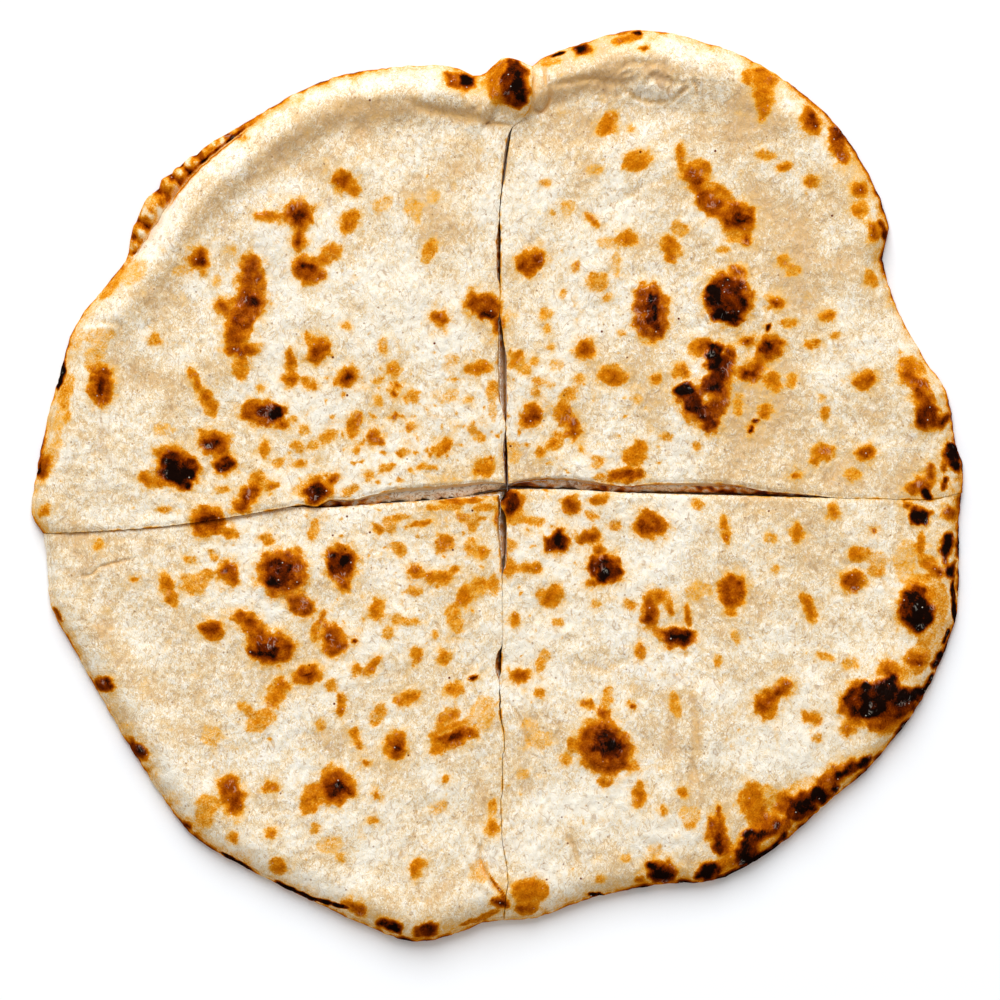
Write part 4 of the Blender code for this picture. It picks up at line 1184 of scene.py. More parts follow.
@dataclass
class DoughQuarter:
    """One quarter of the baked dough: skin, underside, torn walls and the pocket that holds the cheese."""

    quarter: Quarter
    scorching: Scorching = field(default_factory=Scorching)
    relief: Relief = field(default_factory=Relief)
    ragged: Grain = Grain(31, 2.4)
    ragged_fine: Grain = Grain(32, 0.9)
    tear: Grain = Grain(33, 1.6)
    ragged_edge: float = 0.12
    crimp_length: float = 5.2
    rim_length: float = 190
    crimp_heights: tuple[float, float] = (0.22, 0.45)
    slit_inset: float = 0.35
    slit_width: float = 0.3
    slit_depth: float = 0.8
    cut_rounding: float = 0.45
    lift_reach: float = 6
    seam_width: float = 0.3
    roll_shade_inset: float = 8.5
    roll_shade_width: float = 4.0
    toast_heat: float = 1.10
    glow_heat: float = 0.40
    sharp_angle: float = 52
    wall_rows: tuple[int, int, int] = (5, 5, 4)
    wall_char_depth: float = 8
    wall_roughness: float = 0.30
    pocket_leans: tuple[float, float] = (0.3, 0.75)

    def __post_init__(self) -> None:
        """Lays out the top and the foot."""
        self.top_rings, self.under_rings = Rings(), Rings(coarser=4)
        self.cuts = self.quarter.first, self.quarter.last
        tops = []
        for cut in self.cuts:
            line = curve_through(cut.top)
            wander = self.ragged_edge * self.tear.at(line[:, 0] * 1.3, line[:, 1] * 1.3)
            wander *= np.minimum(1, np.linspace(0, 40, len(line)))
            tops.append(line + square_to(line) * wander[:, None])
        self.top = Layout(*tops, self.quarter.rim)
        self.foot = Layout(*foot_edges(self.quarter), self.quarter.rim)

    def edge_distance(self, rings: Rings, s: Array) -> tuple[Array, Array]:
        """How far points are from the first and the last cut, in millimetres."""
        width = s * self.top.reach(rings.t) * math.pi / 2
        return rings.t * width, (1 - rings.t) * width

    def rim_shape(self, layout: Layout, rings: Rings, lip_out: Array) -> tuple[Array, Array, Array]:
        """Places of all ring points seen from above.

        Args:
            layout: The top's or the foot's layout.
            rings: The rings.
            lip_out: How far the lip reaches beyond the rim at each point.

        Returns:
            Their x and y, their s and their distance in from the rim.
        """
        reach = layout.reach(rings.t)
        body = reach - rings.body_share * (reach - EDGE_ROUND)
        inset = np.where(rings.ring <= BODY_RINGS, body, EDGE_ROUND * (1 - np.sin(rings.edge_turn)))
        s = 1 - inset / reach
        out = lip_out * rings.lip_share + self.edge_wander(layout, rings) * bell(inset, 3.0)
        return layout.place(s, rings.t) + layout.outward(rings.t) * out[:, None], s, inset

    def edge_wander(self, layout: Layout, rings: Rings) -> Array:
        """How far the rim strays in or out at each point, none at the cuts.

        Args:
            layout: The top's or the foot's layout.
            rings: The rings.

        Returns:
            Millimetres outwards.
        """
        x, y = layout.rim_point(rings.t).T
        wander = 0.28 * self.ragged.at(x, y) + 0.12 * self.ragged_fine.at(x, y)
        return wander * smooth(np.minimum(rings.t, 1 - rings.t), 0, 0.02)

    def crimps(self, rings: Rings) -> Array:
        """The lower sheet's crimps along the rim, from 0 between them to 1 on them."""
        arc = rings.t * self.rim_length / self.crimp_length
        return abs(np.sin(math.pi * (arc + 0.35 * np.sin(arc * 1.7))))

    def lip_out(self, rings: Rings) -> Array:
        """How far the lip reaches out, with the crimps of the lower sheet where it shows."""
        return LIP_WIDTH + along(self.quarter.lip, rings.t) * (0.78 + 0.22 * self.crimps(rings))

    def toast(self, rings: Rings, inset: Array, x: Array, y: Array) -> Array:
        """Heat of the browned band along the rim.

        Args:
            rings: The rings.
            inset: How far in from the rim each point is.
            x: Places in millimetres.
            y: Places in millimetres.

        Returns:
            Heat from 0 to about 1.3.
        """
        strength = along(self.quarter.toast, rings.t)
        patchy = strength * (1 + 0.9 * self.scorching.warp_coarse[0].at(x, y))
        patchy = np.clip(patchy + 0.5 * self.scorching.warp_fine[1].at(x, y) * strength, 0, 1.3)
        depth = np.maximum(inset, 0) + (1 - rings.lip_share) * LIP_WIDTH
        edge = self.toast_heat * patchy * np.exp(-depth / (0.30 + 0.9 * patchy))
        return np.maximum(edge, self.glow_heat * np.sqrt(patchy) * bell(depth, 0.8 + 3.6 * patchy))

    def skin_height(self, x: Array, y: Array, s: Array, inset: Array, bubble: Array) -> Array:
        """Height of the skin before it curves down to the lip.

        Args:
            x: Places in millimetres.
            y: Places in millimetres.
            s: From the corner to the rim.
            inset: How far in from the rim each point is.
            bubble: Height of the scorch marks' bubbles.

        Returns:
            Height in millimetres.
        """
        rings = self.top_rings
        roll = along(self.quarter.roll, rings.t)
        height = BODY_HEIGHT + self.relief.at(x, y) + bubble
        height += roll * bell(inset - ROLL_SET, ROLL_WIDTH)
        height -= np.maximum(roll, 0) * DIP_SHARE * bell(inset - DIP_SET, DIP_WIDTH)
        for cut, away in zip(self.cuts, self.edge_distance(rings, s)):
            height += along(cut.lift, s) * np.exp(-away / self.lift_reach) * smooth(s, 0, 0.08)
            height -= self.cut_rounding * along(cut.open, s) * bell(away, 0.7)
        return height

    @functools.cached_property
    def top_surface(self) -> tuple[Array, dict[str, Array]]:
        """The skin's points, and what the material reads at each.

        Returns:
            Points in millimetres, and the values by name.
        """
        rings, scorching = self.top_rings, self.scorching
        lip_out = self.lip_out(rings)
        places, s, inset = self.rim_shape(self.top, rings, lip_out)
        x, y = places.T
        heat, bubble = scorching.at(x, y)
        height = self.skin_height(x, y, s, inset, bubble)
        crest, extra = self.crimps(rings), along(self.quarter.lip, rings.t)
        slit = bell(inset + rings.lip_share * lip_out - self.slit_inset, self.slit_width)
        slit *= smooth(extra, 0.4, 1.2)
        on_lip = np.sin(np.pi * rings.lip_share * 0.9)
        z = LIP_TOP + (height - LIP_TOP) * np.cos(rings.edge_turn) - self.slit_depth * slit
        even, ruffled = self.crimp_heights
        z += extra * (even + ruffled * crest) * on_lip - (LIP_TOP - LIP_EDGE) * rings.lip_share**2
        z = np.where(z > SOFT_TOP, SOFT_TOP + SOFT_ROOM * np.tanh((z - SOFT_TOP) / SOFT_ROOM), z)
        paler = 1 - 0.6 * smooth(extra, 0.3, 1.2) * (1 - smooth(rings.lip_share, 0.0, 0.1))
        heat = np.maximum(heat, self.toast(rings, inset, x, y) * paler)
        crimped = smooth(extra, 0.3, 1.0) * smooth(rings.lip_share, 0.0, 0.2)
        # Painted shade and highlight: on the crimped lip the valleys between crimps are darker and the crests
        # paler, and the slit under the lip is darkened as painted shade
        baked = 0.95 - 0.62 * crest + 0.35 * scorching.fleck_fine.at(x, y) + 0.3 * scorching.mottle.at(x, y)
        heat = heat * (1 - crimped) + crimped * baked + slit * 0.55 * smooth(rings.t, 0.44, 0.5)
        seam = bell(np.minimum(*self.edge_distance(rings, s)), self.seam_width)
        heat = np.maximum(heat, (0.2 + 0.6 * scorching.mottle.at(x, y)) * seam)
        # Painted shade in the tone: lower places, the slope inside the roll that faces away from the light,
        # and the creases are made deeper cream, and the creases get a little heat too
        crease_shade_mask = np.clip(-sum_of(CREASES, x, y), 0, 1)
        roll_shade = np.maximum(along(self.quarter.roll, rings.t), 0)
        roll_shade *= bell(inset - self.roll_shade_inset, self.roll_shade_width)
        tone = sum_of(SHADE_AND_TONE_ZONES, x, y) + 0.45 * (height - BODY_HEIGHT - bubble - 0.5)
        values = {
            "scorch": np.maximum(heat, 0.14 * crease_shade_mask),
            "tone": tone - 0.9 * roll_shade - 2.0 * crease_shade_mask + 0.05 * bell(inset, 7.0),
            "wet": np.clip(sum_of(WET, x, y), 0, 1),
            "pepper": scorching.pepper(x, y),
            "folded": np.clip(sum_of(FOLDED, x, y), 0, 1),
        }
        return np.column_stack([x, y, z]), values

    @functools.cached_property
    def under_surface(self) -> tuple[Array, dict[str, Array]]:
        """The underside's points, and what the material reads at each.

        Returns:
            Points in millimetres, and the values by name.
        """
        rings, grain = self.under_rings, self.scorching
        places, _, inset = self.rim_shape(self.foot, rings, self.lip_out(rings))
        x, y = places.T
        rise = 1 - np.minimum(inset / UNDERSIDE_ROUND, 1)
        z = LIP_BOTTOM * rise * rise + (LIP_EDGE - LIP_BOTTOM) * rings.lip_share**2
        lift = 0.25 + 0.3 * self.relief.lumps.at(x + 40, y - 25) + 0.15 * self.relief.wrinkles[0].at(x, y)
        inside = smooth(np.minimum(*self.edge_distance(rings, 1 - inset / self.foot.reach(rings.t))), 0, 3)
        z += np.clip(lift, 0, 0.6) * inside * (rings.lip_share == 0) * smooth(inset, 0, 3)
        blotch = 0.18 + 0.26 * grain.fleck_spread.at(x + 70, y) + 0.16 * grain.warp_coarse[1].at(x, y + 50)
        spots = 0.75 * smooth(grain.warp_coarse[0].at(x * 0.55 + 90, y * 0.55), 0.42, 0.75)
        heat = np.maximum(np.maximum(np.clip(blotch, 0, 0.62), spots), self.toast(rings, inset, x, y))
        return np.column_stack([x, y, z]), {"scorch": heat, **PLAIN}

    def wall(self, head: Array, foot: Array, last: bool) -> Array:
        """One torn wall between the skin's edge and the foot's.

        Args:
            head: The skin's edge, from the corner out.
            foot: The foot's edge.
            last: Whether it is the wall of the last cut.

        Returns:
            Its points by row, from the top down, and by ring.
        """
        tall, ceiling, floor = level_shares(head, foot, POCKET_GAP, (0.15, 0.6), 0.85)
        above, between, below = self.wall_rows
        shares = [ceiling * row / above for row in range(above)]
        shares += [ceiling + (floor - ceiling) * row / between for row in range(between)]
        shares += [floor + (1 - floor) * row / below for row in range(below + 1)]
        share = np.array(shares)[:, :, None]
        points = head + (foot - head) * share
        inward = square_to(foot[:, :2]) * (1 if last else -1)
        along_cut = np.linalg.norm(foot[:, :2] - foot[0, :2], axis=1)
        rough = self.wall_roughness * self.tear.at(along_cut[None, :] + 200 * last, points[:, :, 2] * 1.6)
        rough = np.clip(rough + 0.12, 0, None) * np.sin(np.pi * share[:, :, 0]) * smooth(tall, 1, 4)
        points[:, :, :2] += inward[None] * rough[:, :, None]
        return points

    def wall_heat(self, grid: Array, skin: Array, char: Row) -> Array:
        """Heat on a torn wall: the skin's own at its upper edge, and the cut's char below.

        Args:
            grid: The wall's points.
            skin: Heat along the skin's edge.
            char: How charred the cut is from the corner out.

        Returns:
            Heat by row and ring.
        """
        rows, columns = grid.shape[:2]
        down = np.arange(rows)[:, None] / (rows - 1)
        marbled = self.scorching.fleck_shape.at(grid[:, :, 0] * 1.5, grid[:, :, 1] * 3)
        marbled = np.clip(1 + 1.1 * marbled, 0, 1.6)
        charred = along(char, np.linspace(0, 1, columns)) * marbled * smooth(down, -0.1, 0.25)
        fade = np.exp(-down * self.wall_char_depth)
        return np.maximum(skin * fade + charred * (1 - fade), 0.16 * (1 - smooth(down, 0.1, 0.4)))

    def sheet(self, edges: tuple[Array, Array], rings: int, share: Array, lean: float) -> Array:
        """A level sheet inside the quarter, between its edges in the two cuts.

        Args:
            edges: Its edge in the first cut and in the last one, from the corner out.
            rings: How many rings it reaches out.
            share: Where its columns lie, from 0 at the first cut to 1 at the last.
            lean: How far down the walls it is, from 0 to 1.

        Returns:
            Points by ring and then round.
        """
        ring, t = (grid.ravel() for grid in np.meshgrid(np.arange(rings + 1), share, indexing="ij"))
        flat = np.zeros((len(t), 2))
        for layout, part in ((self.top, 1 - lean), (self.foot, lean)):
            reach = layout.reach(t)
            flat += part * layout.place(1 - (reach - ring / BODY_RINGS * (reach - EDGE_ROUND)) / reach, t)
        sheet = np.column_stack([flat, np.zeros(len(flat))]).reshape(rings + 1, len(share), 3)
        first, last = (edge[: rings + 1] for edge in edges)
        weight = share[None, :, None]
        sheet[:, :, 2] = first[:, None, 2] * (1 - share) + last[:, None, 2] * share
        sheet += (1 - weight) * (first - sheet[:, 0])[:, None] + weight * (last - sheet[:, -1])[:, None]
        return sheet

    def build(self, dress: "Finishes") -> Thing:
        """Makes the quarter's dough, rides it on the frame and lets it stand for its solid.

        Args:
            dress: The finishes.

        Returns:
            The object.
        """
        surface = Surface()
        top, top_values = self.top_surface
        under, under_values = self.under_surface
        under = self.meet_at_lip(top, under)
        surface.add(top, self.top_rings.faces(), 0, **top_values)
        surface.add(under, self.under_rings.faces(), 0, **under_values)
        self.join_lips(surface, top)
        above, between, _ = self.wall_rows
        edges = []
        for last, cut in enumerate(self.cuts):
            side = self.top_rings.side(last)
            grid = self.wall(top[side], under[self.under_rings.side(last)], bool(last))
            keep = np.ones((grid.shape[0] - 1, grid.shape[1] - 1), bool)
            keep[above : above + between, :POCKET_RINGS] = False
            heat = self.wall_heat(grid, top_values["scorch"][side], cut.char)
            surface.add_grid(grid, 1, keep, scorch=heat.ravel(), **PLAIN)
            end = grid[above : above + between + 1, POCKET_RINGS]
            edges.append((grid[above], grid[above + between], end))
        ceilings, floors, ends = zip(*edges)
        columns = np.linspace(0, 1, POCKET_COLUMNS + 1)
        ceiling, floor = (
            self.sheet(edge, POCKET_RINGS, columns, lean)
            for edge, lean in zip((ceilings, floors), self.pocket_leans)
        )
        for grid in (ceiling, floor, back_face(ceiling, floor, *ends)):
            surface.add_grid(grid, 1, scorch=0, **PLAIN)
        name = self.quarter.name
        made = surface.object(name + "_baked", self.sharp_angle)
        return put_in_frame(made, name + "_dough", "baked_dough", dress.skin, dress.crumb)

    def meet_at_lip(self, top: Array, under: Array) -> Array:
        """Moves the underside's outermost points onto the skin's outermost ones.

        Args:
            top: The skin's points.
            under: The underside's points, which are changed.

        Returns:
            The underside's points.
        """
        skin, below = self.top_rings, self.under_rings
        step = skin.segments[-1] // below.segments[-1]
        under[below.start[-2] : below.start[-1]] = top[skin.start[-2] : skin.start[-1] : step]
        return under

    def join_lips(self, surface: Surface, top: Array) -> None:
        """Fills the slivers between the lip's fine upper edge and the underside's coarser one.

        Args:
            surface: What the fill is added to.
            top: The skin's points.
        """
        skin, below = self.top_rings, self.under_rings
        step = skin.segments[-1] // below.segments[-1]
        outer = top[skin.start[-2] : skin.start[-1]]
        first = np.arange(0, len(outer) - 1, step)
        fans = [np.column_stack([first, first + k, first + k + 1]) for k in range(1, step)]
        surface.add(outer, np.concatenate(fans), 0, scorch=0.5, **PLAIN)


@dataclass
class CheeseLayer:
    """The melted cheese inside one quarter, which swells a little out of both cuts."""

    dough: DoughQuarter
    ooze: Grain = Grain(41, 3.2)
    ooze_fine: Grain = Grain(42, 1.2)
    front_rows: int = 10
    sharp_angle: float = 60
    upper_lean: float = 0.33
    lower_lean: float = 0.7
    deep: Row = (0, 0.004, 0.01, 0.022, 0.05, 0.1, 0.2, 0.35, 0.5)

    def front(self, head: Array, foot: Array, last: bool, bulge: Row) -> Array:
        """The face that shows in one cut.

        Args:
            head: The skin's edge, from the corner out.
            foot: The foot's edge.
            last: Whether it is the face in the last cut.
            bulge: How far it swells out of the cut from the corner out.

        Returns:
            Points by row, from the top down, and by ring.
        """
        _, high, low = level_shares(head, foot, 0, (0.2, 0.62), 0.83)
        row, gone = np.linspace(0, 1, self.front_rows + 1)[:, None], np.linspace(0, 1, len(foot))
        points = head + (foot - head) * (high + (low - high) * row)[:, :, None]
        far = np.linalg.norm(foot[:, :2] - foot[0, :2], axis=1)[None, :]
        swell = 0.75 + 0.5 * self.ooze.at(far + 90 * last, row * 4)
        swell += 0.25 * self.ooze_fine.at(far, row * 5 + 30)
        swell *= np.sin(np.pi * row) ** 0.6 * along(bulge, gone) * smooth(np.minimum(gone, 1 - gone), 0, 0.03)
        points[:, :, :2] += square_to(foot[:, :2])[None] * (-1 if last else 1) * swell[:, :, None]
        return points

    def sheet(self, edges: tuple[Array, Array], lean: float, thin: float) -> Array:
        """The layer's upper or lower surface.

        Args:
            edges: Its edge in the first cut and in the last one, from the corner out.
            lean: How far down the walls it is, from 0 to 1.
            thin: How much lower it lies at its outer end, in millimetres.

        Returns:
            Points by ring and then round.
        """
        share = np.array([*self.deep, *(1 - value for value in self.deep[-2::-1])])
        sheet = self.dough.sheet(edges, CHEESE_RINGS, share, lean)
        outer = np.arange(CHEESE_RINGS + 1)[:, None] / CHEESE_RINGS
        sheet[:, :, 2] -= thin * outer**4 * np.sin(np.pi * share) ** 0.3
        return sheet

    def build(self, dress: "Finishes") -> Thing:
        """Makes the layer, rides it on the frame and lets it stand for its solid.

        Args:
            dress: The finishes.

        Returns:
            The object.
        """
        dough, surface, fronts = self.dough, Surface(), []
        (top, _), (under, _) = dough.top_surface, dough.under_surface
        for last, cut in enumerate(dough.cuts):
            head = top[dough.top_rings.side(last)][: CHEESE_RINGS + 1]
            foot = under[dough.under_rings.side(last)][: CHEESE_RINGS + 1]
            grid = self.front(head, foot, bool(last), cut.bulge)
            fronts.append(grid)
            marbled = np.clip(0.8 + 1.5 * self.ooze.at(grid[:, :, 0] * 1.5, grid[:, :, 1] * 3), 0, 1.6)
            heat = along(cut.char, np.linspace(0, 1, len(head))) * marbled
            surface.add_grid(grid, 0, scorch=heat.ravel())
        first, last = fronts
        upper = self.sheet((first[0], last[0]), self.upper_lean, CHEESE_THIN_END)
        lower = self.sheet((first[-1], last[-1]), self.lower_lean, 0.0)
        for grid in (upper, lower, back_face(upper, lower, first[:, -1], last[:, -1])):
            surface.add_grid(grid, 0, scorch=0)
        name = dough.quarter.name
        made = surface.object(name + "_melted", self.sharp_angle)
        return put_in_frame(made, name + "_cheese", "melted_cheese", dress.cheese)


class Nodes:
    """Short ways to place and join shader nodes in one tree."""

    def __init__(self, tree: Tree) -> None:
        """Works on the given tree."""
        self.tree = tree

    def add(self, kind: str, **inputs: object) -> bpy.types.Node:
        """Places a node and sets or joins its inputs.

        Args:
            kind: The node's type without the word ShaderNode.
            inputs: Values or sockets by input name, with _ for a space, or by i and the input's number.
                set_X sets the node's own property X.

        Returns:
            The node.
        """
        node = self.tree.nodes.new(kind if kind.startswith("Node") else "ShaderNode" + kind)
        for name, value in inputs.items():
            if name.startswith("set_"):
                setattr(node, name[4:], value)
        for name, value in inputs.items():
            if not name.startswith("set_"):
                key = int(name[1:]) if name[0] == "i" and name[1:].isdigit() else name.replace("_", " ")
                self.join(value, node.inputs[key])
        return node

    def join(self, value: object, socket: Socket) -> None:
        """Links a socket to an input, or sets the input's own value.

        Args:
            value: A socket or a value.
            socket: The input.
        """
        if isinstance(value, Socket):
            self.tree.links.new(value, socket)
        else:
            socket.default_value = value

    def math(self, operation: str, first: object, second: object = 0.0, clamp: bool = False) -> Socket:
        """The result of a sum."""
        node = self.add("Math", set_operation=operation, set_use_clamp=clamp, i0=first, i1=second)
        return node.outputs[0]

    times = functools.partialmethod(math, "MULTIPLY")
    plus = functools.partialmethod(math, "ADD")
    minus = functools.partialmethod(math, "SUBTRACT")
    most = functools.partialmethod(math, "MAXIMUM")

    def ramp(self, value: Socket, *stops: tuple[float, object]) -> Socket:
        """Colours or greys by a value.

        Args:
            value: What is read.
            stops: Places from 0 to 1, each with a colour's name or a grey.

        Returns:
            The colour socket.
        """
        node = self.add("ValToRGB", Fac=value)
        band = node.color_ramp
        while len(band.elements) < len(stops):
            band.elements.new(1.0)
        for element, (place, tone) in zip(band.elements, stops):
            element.position = place
            element.color = linear(tone) if isinstance(tone, str) else (tone, tone, tone, 1)
        return node.outputs["Color"]

    def mix(self, share: object, first: object, second: object) -> Socket:
        """Two colours mixed."""
        return self.add("Mix", set_data_type="RGBA", i0=share, i6=first, i7=second).outputs[2]

    def noise(self, place: object, size_mm: float, **settings: object) -> Socket:
        """A noise with bumps of about the given size."""
        return self.add("TexNoise", Vector=place, Scale=1 / (size_mm * MM), **settings).outputs["Fac"]

    def said(self, name: str) -> Socket:
        """What the mesh says under a name."""
        return self.add("Attribute", set_attribute_name=name).outputs["Fac"]

    def dots(self, place: Socket, size_mm: float, core: float, edge: float, share: object) -> Socket:
        """Scattered round dots.

        Args:
            place: Where they are read.
            size_mm: How far apart they could lie.
            core: Out to where each is full, as a share of that size.
            edge: Where each ends.
            share: How many of the possible ones are there, from 0 to 1.

        Returns:
            1 on the dots and 0 beside them.
        """
        cells = self.add("TexVoronoi", Vector=place, Scale=1 / (size_mm * MM)).outputs
        dot = self.ramp(cells["Distance"], (core, 1.0), (edge, 0.0))
        return self.times(dot, self.math("LESS_THAN", cells["Color"], share))


def group_of(
    name: str, inputs: dict[str, str], outputs: dict[str, str]
) -> tuple[Tree, Nodes, dict[str, Socket], dict[str, Socket]]:
    """A new shader node group with its ends placed.

    Args:
        name: The group's name.
        inputs: Socket types by name.
        outputs: Socket types by name.

    Returns:
        The group, a way to place nodes in it, its input sockets and its output sockets by name.
    """
    tree = bpy.data.node_groups.new(name, "ShaderNodeTree")
    for way, sockets in (("INPUT", inputs), ("OUTPUT", outputs)):
        for socket, kind in sockets.items():
            tree.interface.new_socket(name=socket, in_out=way, socket_type="NodeSocket" + kind)
    nodes = Nodes(tree)
    start, end = nodes.add("NodeGroupInput"), nodes.add("NodeGroupOutput")
    return tree, nodes, {key: start.outputs[key] for key in inputs}, {key: end.inputs[key] for key in outputs}


def fibre_group() -> Tree:
    """The dough's fine tangled grain.

    Returns:
        A group that takes a place and gives a height, a shade, and masks of strands, cracks and folds.
    """
    outputs = ("Height", "Shade", "Strands", "Cracks", "Folds")
    kinds = dict.fromkeys(outputs, "Float")
    tree, nodes, given, wanted = group_of("tangled grain", {"Place": "Vector"}, kinds)
    drawn_out = nodes.add("VectorMath", set_operation="MULTIPLY", i0=given["Place"], i1=(1.25, 0.8, 1.0))
    place = drawn_out.outputs[0]
    coarse = nodes.noise(place, 2.2, Detail=3.0, Roughness=0.6, Distortion=1.0)
    fine = nodes.noise(place, 0.8, Detail=2.0, Roughness=0.6, Distortion=2.0)

    def curls(size_mm: float, shift: float, levels: float, thin: float, gaps: float) -> Socket:
        """Thin broken lines that follow a noise's levels.

        Args:
            size_mm: The noise's size.
            shift: How far the noise is moved, so that no two are alike.
            levels: How many levels have a line.
            thin: How wide the lines are, as a share of the space between two levels.
            gaps: How much of the lines is left out.

        Returns:
            1 on the lines and 0 beside them.
        """
        moved = nodes.add("VectorMath", set_operation="ADD", i0=place, i1=(shift, shift / 2, 0)).outputs[0]
        waves = nodes.noise(moved, size_mm, Detail=1.0, Roughness=0.5, Distortion=0.9)
        off = nodes.math("PINGPONG", nodes.times(waves, levels), 0.5)
        kept = nodes.ramp(nodes.noise(moved, size_mm * 0.55, Detail=0.0), (gaps, 0.0), (gaps + 0.05, 1.0))
        return nodes.times(nodes.ramp(off, (0.0, 1.0), (thin, 0.0)), kept)

    strands = nodes.most(curls(3.4, 0.3, 6.0, 0.20, 0.46), curls(2.2, 0.7, 4.0, 0.20, 0.48))
    cracks = nodes.most(curls(4.6, 1.1, 5.0, 0.12, 0.52), curls(2.6, 1.7, 4.0, 0.10, 0.54))
    folds = nodes.most(curls(13.0, 2.3, 5.0, 0.20, 0.50), curls(8.0, 3.1, 4.0, 0.16, 0.52))
    height = nodes.plus(nodes.times(coarse, 0.34), nodes.times(fine, 0.66))
    raised = nodes.plus(height, nodes.times(strands, 0.16))
    lowered = nodes.plus(nodes.times(cracks, 0.06), nodes.times(folds, 0.08))
    shade = nodes.ramp(height, (0.38, 0.0), (0.62, 1.0))
    for name, result in zip(outputs, (nodes.minus(raised, lowered), shade, strands, cracks, folds)):
        nodes.join(result, wanted[name])
    return tree


def scorch_group() -> Tree:
    """The colours that heat gives to dough.

    Returns:
        A group that takes a plain colour, heat and a place and gives a colour, and how far it is scorched.
    """
    inputs = {"Plain": "Color", "Heat": "Float", "Place": "Vector"}
    tree, nodes, given, wanted = group_of("oven scorch", inputs, {"Color": "Color", "Scorched": "Float"})
    fray = nodes.noise(given["Place"], 0.9, Detail=4.0, Roughness=0.7, Distortion=1.6)
    fray = nodes.times(nodes.minus(fray, 0.5), 0.9)
    room = nodes.ramp(given["Heat"], (0.0, 0.0), (0.15, 0.7), (0.35, 1.0), (0.6, 0.8), (0.9, 0.5))
    heat = nodes.math("DIVIDE", nodes.plus(given["Heat"], nodes.times(fray, room)), 1.3, clamp=True)
    low = (0.11, "straw"), (0.26, "golden"), (0.40, "amber")
    burnt = nodes.ramp(heat, *low, (0.57, "brown"), (0.72, "dark"), (0.90, "black"))
    cover = nodes.ramp(heat, (0.03, 0.0), (0.16, 0.5), (0.27, 0.9), (0.34, 1.0))
    nodes.join(nodes.mix(cover, given["Plain"], burnt), wanted["Color"])
    nodes.join(nodes.ramp(heat, (0.2, 0.0), (0.6, 1.0)), wanted["Scorched"])
    return tree


class Started:
    """A new material with what every finish of the bread reads and sets."""

    def __init__(self, name: str) -> None:
        """Makes the material under its name.

        Args:
            name: The material's name.
        """
        self.material = bpy.data.materials.new(name)
        self.material.use_nodes = True
        self.shader = self.material.node_tree.nodes["Principled BSDF"]
        self.nodes = Nodes(self.material.node_tree)
        self.place = self.nodes.add("TexCoord").outputs["Object"]
        self.heat = self.nodes.said("scorch")

    def group(self, tree: Tree, **inputs: object) -> bpy.types.NodeOutputs:
        """What a shared group gives at each place."""
        return self.nodes.add("Group", set_node_tree=tree, Place=self.place, **inputs).outputs

    def finish(self, height: Socket, strength: float, **inputs: object) -> Material:
        """Bumps the surface and sets the shader.

        Args:
            height: The bump's height.
            strength: How strong the bump is.
            inputs: Values or sockets by the shader's input name, with _ for a space.

        Returns:
            The material.
        """
        bump = self.nodes.add("Bump", Strength=strength, Distance=BUMP_MM * MM, Height=height)
        for name, value in {"Normal": bump.outputs["Normal"], **inputs}.items():
            self.nodes.join(value, self.shader.inputs[name.replace("_", " ")])
        return self.material


